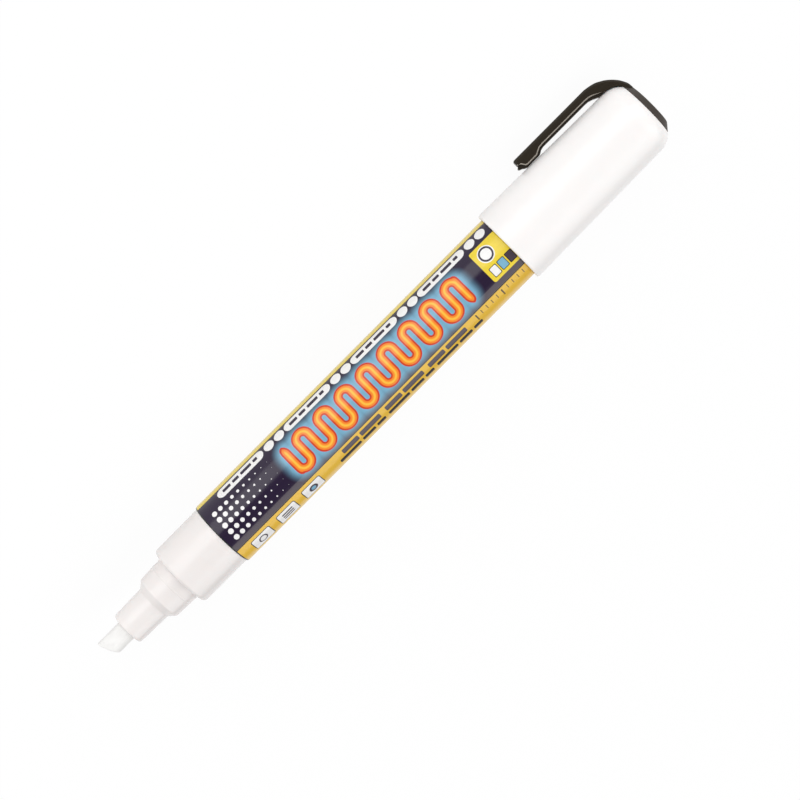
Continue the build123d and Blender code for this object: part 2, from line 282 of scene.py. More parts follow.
class Effects:
    """The shader effects that the finishes share."""

    def __init__(self) -> None:
        """Builds every group once."""
        self.wrap = self._wrap()
        self.bar = self._bar()
        self.ring = self._ring()
        self.serpent = self._serpent()
        self.grain = self._grain()

    @staticmethod
    def _wrap() -> Tree:
        """Distance along the marker and round it, in millimetres at the label's radius.

        Returns:
            The group.
        """
        effect = EffectGroup("wrap_round_marker", ["Radius"], ["Along", "Around", "Behind"])
        point = effect.add("ShaderNodeTexCoord").outputs["Object"]
        offset = effect.vector("SUBTRACT", point, tuple(PLACE.origin))
        ways = (Vector((-1 / MM, 0, 0)), PLACE.shown_side, -PLACE.clip_side)
        parts = [effect.vector("DOT_PRODUCT", offset, tuple(way), out="Value") for way in ways]
        effect.put("Along", parts[0])
        for name, sign in (("Around", 1.0), ("Behind", -1.0)):
            shown, across = [effect.math("MULTIPLY", part, sign) for part in parts[1:]]
            turn = effect.math("ARCTAN2", across, shown)
            effect.put(name, effect.math("MULTIPLY", turn, effect.inputs["Radius"]))
        return effect.tree

    @staticmethod
    def _bar() -> Tree:
        """A bar with rounded ends, or a disc where its sides equal its rounding.

        Returns:
            The group.
        """
        names = ["U", "V", "Middle U", "Middle V", "Half Length", "Half Width", "Round", "Soft"]
        effect = EffectGroup("printed_bar", names, ["Mask"])
        take = effect.inputs
        past = []
        for axis, half in (("U", "Half Length"), ("V", "Half Width")):
            offset = effect.math("SUBTRACT", take[axis], take["Middle " + axis])
            inset = effect.math("SUBTRACT", take[half], take["Round"])
            over = effect.math("SUBTRACT", effect.math("ABSOLUTE", offset), inset)
            past.append(effect.math("MAXIMUM", over, 0.0))
        depth = effect.math("SUBTRACT", take["Round"], effect.hypot(*past))
        effect.put("Mask", effect.edge(depth, take["Soft"]))
        return effect.tree

    @staticmethod
    def _ring() -> Tree:
        """A printed ring.

        Returns:
            The group.
        """
        names = ["U", "V", "Middle U", "Middle V", "Radius", "Stroke", "Soft"]
        effect = EffectGroup("printed_ring", names, ["Mask"])
        take = effect.inputs
        offsets = [effect.math("SUBTRACT", take[axis], take["Middle " + axis]) for axis in "UV"]
        off = effect.math("ABSOLUTE", effect.math("SUBTRACT", effect.hypot(*offsets), take["Radius"]))
        half = effect.math("MULTIPLY", take["Stroke"], 0.5)
        effect.put("Mask", effect.edge(effect.math("SUBTRACT", half, off), take["Soft"]))
        return effect.tree

    @staticmethod
    def _serpent() -> Tree:
        """Distance from a line that runs up and down in straight runs joined by half circles.

        Returns:
            The group.
        """
        effect = EffectGroup("serpent_line", ["U", "V", "Length", "Spacing", "Straight"], ["Distance"])
        take, spacing = effect.inputs, effect.inputs["Spacing"]
        half, double = [effect.math("MULTIPLY", spacing, times) for times in (0.5, 2.0)]
        held = effect.math("MINIMUM", effect.math("MAXIMUM", take["U"], 0.0), take["Length"])
        outside = effect.math("SUBTRACT", take["U"], held)
        run = effect.math("FLOORED_MODULO", effect.math("ADD", held, half), spacing)
        middle = effect.math("ABSOLUTE", effect.math("SUBTRACT", run, half))
        total = middle
        for sign in (1.0, -1.0):
            shifted = effect.math("MULTIPLY_ADD", half, sign, held)
            turn = effect.math("SUBTRACT", effect.math("FLOORED_MODULO", shifted, double), spacing)
            rise = effect.math("SUBTRACT", effect.math("MULTIPLY", take["V"], sign), take["Straight"])
            bend = effect.math("ABSOLUTE", effect.math("SUBTRACT", effect.hypot(turn, rise), half))
            change = effect.math("SUBTRACT", bend, middle)
            change = effect.math("MULTIPLY", effect.math("GREATER_THAN", rise, 0.0), change)
            total = effect.math("ADD", total, change)
        effect.put("Distance", effect.hypot(total, outside))
        return effect.tree

    @staticmethod
    def _grain() -> Tree:
        """The fine skin of a moulding: a height for bump, and a slow tone for colour and gloss.

        Returns:
            The group.
        """
        effect = EffectGroup("moulded_skin", ["Grain Size", "Tone Size", "Stretch"], ["Height", "Tone"])
        take = effect.inputs
        point = effect.add("ShaderNodeTexCoord").outputs["Object"]
        stretch = effect.call("ShaderNodeCombineXYZ", {"X": take["Stretch"], "Y": 1.0, "Z": 1.0})
        place = effect.vector("DIVIDE", point, stretch)
        for name, size, detail in (("Height", "Grain Size", 3.0), ("Tone", "Tone Size", 2.0)):
            scale = effect.math("DIVIDE", 1 / MM, take[size])
            feeds = {"Vector": place, "Scale": scale, "Detail": detail}
            effect.put(name, effect.call("ShaderNodeTexNoise", feeds))
        return effect.tree


# Finishes


class Finish(Graph):
    """A material in the making, with one Principled shader."""

    def __init__(self, surface: "Surface", effects: Effects) -> None:
        """Starts the material and raises its grain.

        Args:
            surface: The values of the finish.
            effects: The shared shader groups.
        """
        self.material = bpy.data.materials.new(surface.name)
        self.material.use_nodes = True
        super().__init__(self.material.node_tree)
        self.effects = effects
        self.shader = self.tree.nodes["Principled BSDF"]
        sizes = {"Grain Size": surface.grain, "Tone Size": surface.tone, "Stretch": surface.stretch}
        skin = self.group(effects.grain, sizes)
        self.height, self.tone = skin["Height"], skin["Tone"]
        feeds = {"Height": self.height, "Distance": surface.depth * MM, "Strength": surface.relief}
        self.set("Normal", self.call("ShaderNodeBump", feeds))

    def set(self, name: str, value: Feed) -> None:
        """Feeds one of the shader's sockets."""
        self.feed(self.shader.inputs[name], value)

    def rough(self, wave: Feed, gloss: Point) -> None:
        """Lets the roughness swing with a wave from one value to another."""
        span = self.math("MULTIPLY", wave, gloss[1] - gloss[0])
        self.set("Roughness", self.math("ADD", span, gloss[0]))

    def glow(self, weight: float, tint: Triple, depth: float) -> None:
        """Lets some light in: its share, the reach of each colour beside the others, and its depth."""
        for name, value in (("Weight", weight), ("Radius", tint), ("Scale", depth * MM)):
            self.set("Subsurface " + name, value)


@dataclass(frozen=True)
class Surface:
    """A finish: two tones, the span of its roughness, and its grain's sizes, stretch, depth and relief."""

    name: str
    colour: Colour
    shade: Colour
    gloss: Point
    grain: float = 0.16
    tone: float = 6.0
    stretch: float = 1.6
    depth: float = 0.012
    relief: float = 0.35

    def build(self, effects: Effects) -> Material:
        """Writes the material.

        Args:
            effects: The shared shader groups.

        Returns:
            The material.
        """
        finish = Finish(self, effects)
        self.dress(finish)
        return finish.material

    def dress(self, finish: Finish) -> None:
        """Writes what a kind of finish has of its own."""
        raise NotImplementedError


@dataclass(frozen=True)
class MouldedPlastic(Surface):
    """A moulded plastic, which lets some light in where it has a glow."""

    glow_depth: float = 0.0
    glow_weight: float = 0.25
    glow_tint: Triple = (1.0, 0.85, 0.8)
    sheen_level: float = 0.5

    def dress(self, finish: Finish) -> None:
        """Writes two slow tones, a gloss that follows them, the glow and the sheen.

        Args:
            finish: The material in the making.
        """
        finish.set("Base Color", finish.mix(finish.tone, self.shade, self.colour))
        finish.rough(finish.tone, self.gloss)
        if self.glow_depth:
            finish.glow(self.glow_weight, self.glow_tint, self.glow_depth)
        finish.set("Specular IOR Level", self.sheen_level)


@dataclass(frozen=True)
class BondedFibre(Surface):
    """The nib's pressed fibre: pale, dull and streaked along its length."""

    grain: float = 0.22
    tone: float = 0.8
    stretch: float = 12.0
    depth: float = 0.004
    relief: float = 0.2
    streak: Point = (0.3, 0.62)
    glow_depth: float = 0.6
    glow_weight: float = 0.15
    glow_tint: Triple = (1.0, 1.0, 1.0)

    def dress(self, finish: Finish) -> None:
        """Writes tones that follow the fibres, and a faint glow.

        Args:
            finish: The material in the making.
        """
        streaks = finish.ramp(finish.height, *self.streak)
        finish.set("Base Color", finish.mix(streaks, self.shade, self.colour))
        finish.rough(finish.tone, self.gloss)
        finish.glow(self.glow_weight, self.glow_tint, self.glow_depth)


@dataclass(frozen=True)
class Metal(Surface):
    """Drawn or ground steel."""

    grain: float = 0.08
    tone: float = 1.2
    stretch: float = 1.0
    depth: float = 0.004
    relief: float = 0.3

    def dress(self, finish: Finish) -> None:
        """Writes bare metal, whose gloss follows its grain.

        Args:
            finish: The material in the making.
        """
        finish.set("Base Color", finish.mix(finish.tone, self.shade, self.colour))
        finish.set("Metallic", 1.0)
        finish.rough(finish.height, self.gloss)


@dataclass(frozen=True)
class Patch:
    """A printed bar, box or disc: its middle along and round the label, half sides, rounding and ink."""

    u: float
    v: float
    half_u: float
    half_v: float
    rounding: float
    ink: Ink


@dataclass(frozen=True)
class Ring:
    """A printed ring: its middle along and round the label, its line's radius and width, and its ink."""

    u: float
    v: float
    radius: float
    stroke: float
    ink: Ink


@dataclass(frozen=True)
class Row:
    """Patches that come again along the label: the first stretch's start, its length and the count."""

    start: float
    pitch: float
    count: int
    patches: tuple[Patch, ...]


def disc(u: float, v: float, radius: float, colour: Ink) -> Patch:
    """A printed disc."""
    return Patch(u, v, radius, radius, radius, colour)


def bars(v: float, half_v: float, rounding: float, colour: Ink, *spans: Point) -> tuple[Patch, ...]:
    """Bars in one line, from the middle and half length of each."""
    return tuple(Patch(u, v, half_u, half_v, rounding, colour) for u, half_u in spans)


def framed(frame_patch: Patch, pitch: float, line: float, ease: float, inks: Sequence[Ink]) -> list[Patch]:
    """A row of colour fields in thin frames.

    Args:
        frame_patch: The first frame.
        pitch: The way from one to the next.
        line: The frame's width.
        ease: How much less the fields are rounded than the frame.
        inks: The colours of the fields.

    Returns:
        The frames, each followed by its field.
    """
    patches = []
    for step, colour in enumerate(inks):
        outer = replace(frame_patch, u=frame_patch.u + step * pitch)
        patches += [outer, replace(
            outer,
            half_u=outer.half_u - line,
            half_v=outer.half_v - line,
            rounding=outer.rounding - ease,
            ink=colour,
        )]
    return patches


class Page:
    """The label's print in the making, one layer over another."""

    OFF_LABEL = 500.0

    def __init__(self, finish: Finish, film: "PrintedFilm") -> None:
        """Starts on bare film.

        Args:
            finish: The material in the making.
            film: The film's values.
        """
        self.finish = finish
        self.soft = film.soft
        wrap = finish.group(finish.effects.wrap, {"Radius": film.radius})
        self.along, self.around, self.behind = wrap["Along"], wrap["Around"], wrap["Behind"]
        self.colour: Feed = film.colour

    def paint(self, mask: Feed, colour: Ink) -> None:
        """Lays a colour where the mask is 1."""
        self.colour = self.finish.mix(mask, self.colour, colour.value)

    def strip(self, low: float, high: float, colour: Ink) -> None:
        """Lays a band along the whole label.

        Args:
            low: Where it starts round the label.
            high: Where it ends.
            colour: Its ink.
        """
        half = self.soft / 2
        rise = self.finish.ramp(self.around, low - half, low + half)
        fall = self.finish.ramp(self.around, high + half, high - half)
        self.paint(self.finish.math("MULTIPLY", rise, fall), colour)

    def fold(self, row: Row) -> Socket:
        """The place within one of a row's stretches, or off the label beyond them.

        Args:
            row: The row.

        Returns:
            The distance from the start of the stretch.
        """
        count = self.finish.math
        half = row.pitch * row.count / 2
        offset = count("SUBTRACT", self.along, row.start)
        folded = count("FLOORED_MODULO", offset, row.pitch)
        past = count("GREATER_THAN", count("ABSOLUTE", count("SUBTRACT", offset, half)), half)
        return count("ADD", folded, count("MULTIPLY", past, self.OFF_LABEL))

    def mask(self, patch: Patch, soft: float, u: Socket, v: Socket) -> Socket:
        """The mask of a patch.

        Args:
            patch: The patch.
            soft: The width of its edge.
            u: The place along the label.
            v: The place round the label.

        Returns:
            The mask.
        """
        feeds = {
            "U": u,
            "V": v,
            "Middle U": patch.u,
            "Middle V": patch.v,
            "Half Length": patch.half_u,
            "Half Width": patch.half_v,
            "Round": patch.rounding,
            "Soft": soft,
        }
        return self.finish.group(self.finish.effects.bar, feeds)["Mask"]

    def stamp(self, patches: Iterable[Patch], u: Socket, v: Socket) -> None:
        """Prints patches in their order, at places along and round the label."""
        for patch in patches:
            self.paint(self.mask(patch, self.soft, u, v), patch.ink)

    def ring(self, ring: Ring) -> None:
        """Prints a ring on the shown side.

        Args:
            ring: The ring.
        """
        feeds = {
            "U": self.along,
            "V": self.around,
            "Middle U": ring.u,
            "Middle V": ring.v,
            "Radius": ring.radius,
            "Stroke": ring.stroke,
            "Soft": self.soft,
        }
        self.paint(self.finish.group(self.finish.effects.ring, feeds)["Mask"], ring.ink)


@dataclass(frozen=True)
class PrintedFilm(Surface):
    """The glossy label film and its print: plain bands, a lit tube, bars, dots and ticks."""

    grain: float = 0.6
    tone: float = 0.12
    stretch: float = 30.0
    relief: float = 0.3
    sheen_level: float = 0.45
    mottle: Point = (0.35, 0.75)
    mottle_level: float = 0.06
    dark_edge: Point = (0.34, 0.22)
    radius: float = 7.8
    soft: float = 0.07
    navy_edges: Point = (-8.55, 3.54)
    grey_edge: float = 4.96
    rule: float = 0.3
    margin: float = 2.2
    panel: Patch = Patch(46.9, -0.35, 27.4, 4.75, 3.4, Ink.BLUE)
    panel_soft: float = 2.2
    glow_reach: Point = (4.4, 0.9)
    tube_start: float = 22.0
    tube_middle: float = -0.35
    tube_spacing: float = 3.1
    tube_straight: float = 1.7
    tube_runs: int = 16
    tube_skins: tuple[tuple[float, float, Ink], ...] = (
        (1.1, 1.0, Ink.RED),
        (0.78, 0.56, Ink.ORANGE),
        (0.42, 0.04, Ink.AMBER),
    )
    dot_field: Patch = Patch(10.15, -0.75, 8.45, 4.25, 0.01, Ink.WHITE)
    field_soft: float = 0.02
    dot_pitch: float = 1.7
    dot_shift: float = 5.0
    dot_radius: float = 0.66
    dot_fall: float = 0.062
    rows: tuple[Row, ...] = (
        Row(5.4, 19.6, 4, bars(-6.95, 1.35, 1.35, Ink.WHITE, (6.6, 6.6), (15.0, 1.3), (18.0, 1.3))),
        Row(5.4, 19.6, 4, bars(-6.95, 0.46, 0.2, Ink.NAVY, (2.6, 1.1), (5.2, 0.9), (8.2, 1.5), (10.9, 0.6))),
        Row(30.0, 12.6, 3, bars(6.6, 0.72, 0.3, Ink.GREY, (2.6, 2.3), (8.4, 2.9))),
        Row(28.4, 14.2, 3, bars(8.55, 0.6, 0.3, Ink.BLACK, (3.2, 3.0), (8.6, 1.8), (12.2, 1.2))),
        Row(69.0, 1.5, 10, bars(6.35, 0.6, 0.02, Ink.BLACK, (0.75, 0.1))),
        Row(69.0, 7.5, 2, bars(6.7, 0.95, 0.02, Ink.BLACK, (0.75, 0.16))),
    )
    front: tuple[Patch, ...] = (
        Patch(82.0, -0.6, 4.6, 4.2, 0.5, Ink.LEMON),
        disc(80.2, -2.2, 1.9, Ink.WHITE),
        *framed(
            Patch(79.2, 1.7, 0.95, 1.2, 0.25, Ink.BLACK), 2.2, 0.15, 0.05,
            (Ink.WHITE, Ink.BLUE, Ink.GREY),
        ),
        *framed(Patch(6.0, 8.1, 2.7, 1.95, 0.5, Ink.BLACK), 7.4, 0.2, 0.15, [Ink.WHITE] * 3),
        *(Patch(13.4, v, 1.5, 0.2, 0.2, Ink.GREY) for v in (7.35, 8.1, 8.85)),
        disc(20.8, 8.1, 1.1, Ink.GREY),
        disc(20.8, 8.1, 0.6, Ink.BLUE),
    )
    rings: tuple[Ring, ...] = (Ring(80.2, -2.2, 1.45, 0.42, Ink.NAVY), Ring(6.0, 8.1, 0.95, 0.34, Ink.GREY))
    lines_start: float = 23.0
    lines_top: float = -4.6
    lines_pitch: float = 1.8
    lines_halves: tuple[float, ...] = (16.5, 21.0, 21.0, 16.5, 21.0)
    line_half: float = 0.2
    back: tuple[Patch, ...] = (
        Patch(42.0, -1.0, 31.0, 5.2, 0.9, Ink.WHITE),
        disc(16.5, -1.0, 3.6, Ink.NAVY),
        disc(16.5, -1.0, 1.3, Ink.AMBER),
        *framed(
            disc(14.0, 7.2, 1.6, Ink.BLACK), 5.2, 0.2, 0.2,
            (Ink.WHITE, Ink.AMBER, Ink.ORANGE, Ink.RED, Ink.BLUE, Ink.GREY, Ink.NAVY),
        ),
    )

    def dress(self, finish: Finish) -> None:
        """Prints the label layer by layer, under a clear gloss with a faint mottle.

        Args:
            finish: The material in the making.
        """
        page = Page(finish, self)
        self._bands(page)
        self._lit_tube(page)
        for row in self.rows:
            page.stamp(row.patches, page.fold(row), page.around)
        self._dot_fade(page)
        page.stamp(self.front, page.along, page.around)
        for ring in self.rings:
            page.ring(ring)
        page.stamp([*self.back, *self._lines()], page.along, page.behind)
        page.paint(finish.ramp(page.along, *self.dark_edge), Ink.EDGE)
        mottle = finish.math("MULTIPLY", finish.ramp(finish.tone, *self.mottle), self.mottle_level)
        finish.set("Base Color", finish.mix(mottle, page.colour, self.shade))
        finish.rough(finish.tone, self.gloss)
        finish.set("Specular IOR Level", self.sheen_level)

    def _bands(self, page: Page) -> None:
        """Prints a navy ground, a grey stripe beside it, and thin dark rules where they meet the yellow.

        Args:
            page: The print in the making.
        """
        low, high = self.navy_edges
        page.strip(low, self.grey_edge, Ink.GREY)
        page.strip(low, high, Ink.NAVY)
        page.strip(self.grey_edge, self.grey_edge + self.rule, Ink.BLACK)
        page.strip(low - self.rule, low, Ink.BLACK)
        page.strip(low - self.rule - self.margin, low - self.rule, Ink.LEMON)

    def _lit_tube(self, page: Page) -> None:
        """Prints a pale blue glow with a bent tube of orange light lying in it.

        Args:
            page: The print in the making.
        """
        finish = page.finish
        feeds = {
            "U": finish.math("SUBTRACT", page.along, self.tube_start),
            "V": finish.math("SUBTRACT", page.around, self.tube_middle),
            "Length": self.tube_spacing * self.tube_runs,
            "Spacing": self.tube_spacing,
            "Straight": self.tube_straight,
        }
        far = finish.group(finish.effects.serpent, feeds)["Distance"]
        inside = page.mask(self.panel, self.panel_soft, page.along, page.around)
        glow = finish.math("MULTIPLY", finish.ramp(far, *self.glow_reach), inside)
        page.paint(glow, self.panel.ink)
        for start, end, colour in self.tube_skins:
            page.paint(finish.ramp(far, start, end), colour)

    def _dot_fade(self, page: Page) -> None:
        """Prints rows of dots that shrink away from the label's front edge.

        Args:
            page: The print in the making.
        """
        finish, pitch = page.finish, self.dot_pitch
        offsets = []
        for place in (page.along, finish.math("ADD", page.around, self.dot_shift)):
            folded = finish.math("FLOORED_MODULO", place, pitch)
            offsets.append(finish.math("SUBTRACT", folded, pitch / 2))
        cell = finish.math("FLOOR", finish.math("DIVIDE", page.along, pitch))
        size = finish.math("SUBTRACT", self.dot_radius, finish.math("MULTIPLY", cell, self.dot_fall))
        dots = finish.edge(finish.math("SUBTRACT", size, finish.hypot(*offsets)), self.soft)
        field = page.mask(self.dot_field, self.field_soft, page.along, page.around)
        page.paint(finish.math("MULTIPLY", dots, field), self.dot_field.ink)

    def _lines(self) -> list[Patch]:
        """The ruled lines on the far side's panel, which start on one line.

        Returns:
            The lines.
        """
        lines = []
        for step, half in enumerate(self.lines_halves):
            v = self.lines_top + step * self.lines_pitch
            lines += bars(v, self.line_half, self.line_half, Ink.GREY, (self.lines_start + half, half))
        return lines


class Finishes:
    """Every finish of the marker, built once."""

    def __init__(self) -> None:
        """Builds the shared groups and the materials."""
        effects = Effects()
        self.cap_white = MouldedPlastic(
            "cap_white", ink(252, 248, 246), ink(251, 247, 245), (0.27, 0.31), depth=0.006, glow_depth=1.2
        ).build(effects)
        self.nose_white = MouldedPlastic(
            "nose_white", ink(240, 235, 233), ink(238, 233, 231), (0.2, 0.24), depth=0.003, glow_depth=0.35
        ).build(effects)
        self.natural = MouldedPlastic(
            "natural_white", ink(226, 225, 216), ink(218, 217, 207), (0.34, 0.46), glow_depth=1.5
        ).build(effects)
        self.black = MouldedPlastic(
            "satin_black", ink(36, 28, 12), ink(32, 24, 9), (0.24, 0.34), 0.12, depth=0.008, sheen_level=0.23
        ).build(effects)
        # The crown is the clip's black plastic: its lighter base colour is painted light falling on it, and
        # its rougher gloss is a matt finish
        self.crown_with_painted_light = MouldedPlastic(
            "matt_and_painted_light_crown", ink(64, 56, 49), ink(56, 49, 43), (0.46, 0.58), 0.1, sheen_level=0.25
        ).build(effects)
        # A pale colour on the clip wall's rounded rim edges: a painted highlight that stands in for their
        # reflection
        self.rim_painted_highlight = MouldedPlastic(
            "painted_highlight_rim_edge", ink(178, 171, 160), ink(140, 133, 123), (0.28, 0.4), 0.12, depth=0.01
        ).build(effects)
        self.seal = MouldedPlastic(
            "seal_rubber", ink(46, 45, 48), ink(38, 37, 40), (0.62, 0.78)
        ).build(effects)
        self.fibre = BondedFibre(
            "bonded_fibre", ink(246, 245, 243), ink(242, 241, 239), (0.78, 0.9)
        ).build(effects)
        wire, ball = ink(196, 196, 198), ink(206, 207, 210)
        self.wire = Metal("spring_wire", wire, dimmed(wire, STEEL_SHADE), (0.18, 0.34)).build(effects)
        self.ball = Metal("ground_steel", ball, dimmed(ball, STEEL_SHADE), (0.06, 0.16)).build(effects)
        self.print = PrintedFilm(
            "label_print", Ink.YELLOW.value, Ink.GREY.value, (0.15, 0.25)
        ).build(effects)


# Shapes


@dataclass(frozen=True)
class Corner:
    """A corner of a turned profile: its place along the axis, its radius and its rounding."""

    x: float
    r: float
    rounding: float = 0.0


def arc(middle: np.ndarray, first: np.ndarray, last: np.ndarray, steps: int) -> list[Point]:
    """Points on a round arc.

    Args:
        middle: Its centre.
        first: The arm from the centre to its start.
        last: The arm to its end.
        steps: How many chords it has.

    Returns:
        The points from start to end.
    """
    cosine = float(first @ last) / float(np.linalg.norm(first) * np.linalg.norm(last))
    sweep = math.acos(cosine)
    points = []
    for share in (step / steps for step in range(steps + 1)):
        arm = (math.sin((1 - share) * sweep) * first + math.sin(share * sweep) * last) / math.sin(sweep)
        points.append(tuple(middle + arm))
    return points


class Profile:
    """The half section of a turned piece."""

    GUARD = 0.12
    LONG_RUN = 4 * GUARD
    STEPS = 7

    def __init__(self, corners: Sequence[Corner], closed: bool) -> None:
        """Rounds the corners and keeps the straight runs straight in shading.

        Args:
            corners: The section's corners in order.
            closed: Whether the section closes on itself, as a hollow piece's does.
        """
        self.closed = closed
        rounded: list[Point] = []
        for index, corner in enumerate(corners):
            before = corners[index - 1] if index or closed else None
            after = corners[(index + 1) % len(corners)] if index + 1 < len(corners) or closed else None
            rounded += self._corner(before, corner, after)
        self.points = self._guarded(rounded)

    def _corner(self, before: Corner | None, corner: Corner, after: Corner | None) -> list[Point]:
        """Rounds one corner.

        Args:
            before: The corner before it, if there is one.
            corner: The corner.
            after: The corner after it, if there is one.

        Returns:
            The corner's points, an arc where it is rounded.
        """
        if not corner.rounding or before is None or after is None:
            return [(corner.x, corner.r)]
        here = np.array((corner.x, corner.r))
        ways = [np.array((other.x, other.r)) - here for other in (before, after)]
        ways = [way / np.linalg.norm(way) for way in ways]
        half = math.acos(float(np.clip(ways[0] @ ways[1], -1, 1))) / 2
        back = corner.rounding / math.tan(half)
        inward = (ways[0] + ways[1]) / np.linalg.norm(ways[0] + ways[1])
        middle = here + inward * corner.rounding / math.sin(half)
        start, end = (here + way * back - middle for way in ways)
        return arc(middle, start, end, self.STEPS)

    def _guarded(self, points: list[Point]) -> list[Point]:
        """Adds two points near the ends of each long run.

        Args:
            points: The rounded section.

        Returns:
            All points in order, back to the first where the section is closed.
        """
        chain = points + points[:1] if self.closed else points
        result = [chain[0]]
        for start, end in zip(chain, chain[1:]):
            a, b = np.array(start), np.array(end)
            span = float(np.linalg.norm(b - a))
            if span > self.LONG_RUN:
                share = self.GUARD / span
                result += [tuple(a + (b - a) * share), tuple(b + (a - b) * share)]
            result.append(end)
        return result


def placed(name: str, data: bpy.types.ID) -> Piece:
    """Puts a new object in the scene.

    Args:
        name: Its name.
        data: Its mesh, lamp or camera.

    Returns:
        The object.
    """
    piece = bpy.data.objects.new(name, data)
    bpy.context.scene.collection.objects.link(piece)
    return piece


def flattened(piece: Piece) -> Piece:
    """Makes a piece's modifiers part of its mesh.

    Args:
        piece: A mesh object with modifiers.

    Returns:
        The same object, with none.
    """
    bpy.context.view_layer.update()
    seen = piece.evaluated_get(bpy.context.evaluated_depsgraph_get())
    mesh = bpy.data.meshes.new_from_object(seen)
    mesh.name = piece.name
    piece.modifiers.clear()
    piece.data = mesh
    return piece


def outward(mesh: bpy.types.Mesh, sharp: float = 32.0) -> None:
    """Turns a closed mesh's faces outwards, smooth but for its sharp edges.

    Args:
        mesh: The mesh.
        sharp: The angle in degrees from which an edge stays sharp.
    """
    work = bmesh.new()
    work.from_mesh(mesh)
    bmesh.ops.remove_doubles(work, verts=work.verts, dist=WELD)
    bmesh.ops.recalc_face_normals(work, faces=work.faces)
    for face in work.faces:
        face.smooth = True
    work.to_mesh(mesh)
    work.free()
    mesh.set_sharp_from_angle(angle=math.radians(sharp))


class NodeBuild(Graph):
    """A geometry node tree that is run once, its result kept as a plain mesh."""

    def __init__(self, name: str, inputs: dict[str, str]) -> None:
        """Starts the tree.

        Args:
            name: The tree's name.
            inputs: The socket type of each named input after the geometry.
        """
        super().__init__(bpy.data.node_groups.new(name, "GeometryNodeTree"))
        face = self.tree.interface
        face.new_socket("Geometry", in_out="INPUT", socket_type="NodeSocketGeometry")
        self.names = {}
        for item, kind in inputs.items():
            self.names[item] = face.new_socket(item, in_out="INPUT", socket_type=kind).identifier
        face.new_socket("Geometry", in_out="OUTPUT", socket_type="NodeSocketGeometry")
        self.inputs = self.add("NodeGroupInput").outputs

    def close(self, geometry: Socket) -> None:
        """Ends the tree in real geometry with its material.

        Args:
            geometry: What the tree has made.
        """
        smooth = self.call("GeometryNodeSetShadeSmooth", {"Geometry": geometry})
        real = self.call("GeometryNodeRealizeInstances", {"Geometry": smooth})
        feeds = {"Geometry": real, "Material": self.inputs["Material"]}
        dressed = self.call("GeometryNodeSetMaterial", feeds)
        self.feed(self.add("NodeGroupOutput").inputs[0], dressed)

    def run(self, name: str, mesh: bpy.types.Mesh, values: dict[str, object]) -> Piece:
        """Makes a piece.

        Args:
            name: The piece's name.
            mesh: What the tree starts from.
            values: The tree's inputs by name.

        Returns:
            The piece, with a plain mesh.
        """
        piece = placed(name, mesh)
        modifier = piece.modifiers.new(self.tree.name, "NODES")
        modifier.node_group = self.tree
        for item, value in values.items():
            modifier[self.names[item]] = value
        return flattened(piece)


class TurnedTree(NodeBuild):
    """Geometry nodes that turn a half section round the marker's axis."""

    def __init__(self) -> None:
        """Builds the tree."""
        super().__init__("turned_body", {
            "Segments": "NodeSocketInt",
            "Axis": "NodeSocketVector",
            "Seam": "NodeSocketFloat",
            "Material": "NodeSocketMaterial",
        })
        section, segments = self.inputs["Geometry"], self.inputs["Segments"]
        rows = self.call("GeometryNodeAttributeDomainSize", {"Geometry": section}, "Point Count")
        columns = self.math("ADD", segments, 1.0)
        grid = self.call("GeometryNodeMeshGrid", {"Vertices X": columns, "Vertices Y": rows})
        index = self.add("GeometryNodeInputIndex").outputs[0]
        row = self.math("FLOORED_MODULO", index, rows)
        column = self.math("FLOOR", self.math("DIVIDE", index, rows))
        place = self.add("GeometryNodeInputPosition").outputs[0]
        feeds = {"Geometry": section, "Value": place, "Index": row}
        spot = self.call("GeometryNodeSampleIndex", feeds, data_type="FLOAT_VECTOR", domain="POINT")
        along, radius, _ = self.call("ShaderNodeSeparateXYZ", {0: spot}).node.outputs
        turn = self.math("DIVIDE", self.math("MULTIPLY", column, 2 * math.pi), segments)
        sides = [self.math("MULTIPLY", radius, self.math(way, turn)) for way in ("COSINE", "SINE")]
        turned = self.call("ShaderNodeCombineXYZ", dict(enumerate((along, *sides))))
        moved = self.vector("ADD", turned, self.inputs["Axis"])
        shaped = self.call("GeometryNodeSetPosition", {"Geometry": grid, "Position": moved})
        feeds = {"Geometry": shaped, "Distance": self.inputs["Seam"]}
        self.close(self.call("GeometryNodeMergeByDistance", feeds))

    def turn(self, name: str, profile: Profile, material: Material, segments: int = 192) -> Piece:
        """Makes a turned piece.

        Args:
            name: The piece's name.
            profile: Its half section.
            material: Its finish.
            segments: How many faces go round.

        Returns:
            The piece.
        """
        mesh = bpy.data.meshes.new(name)
        points = [(x * MM, r * MM, 0.0) for x, r in profile.points]
        mesh.from_pydata(points, [(i, i + 1) for i in range(len(points) - 1)], [])
        values = {"Segments": segments, "Axis": tuple(PLACE.origin), "Seam": WELD, "Material": material}
        piece = self.run(name, mesh, values)
        outward(piece.data)
        return piece


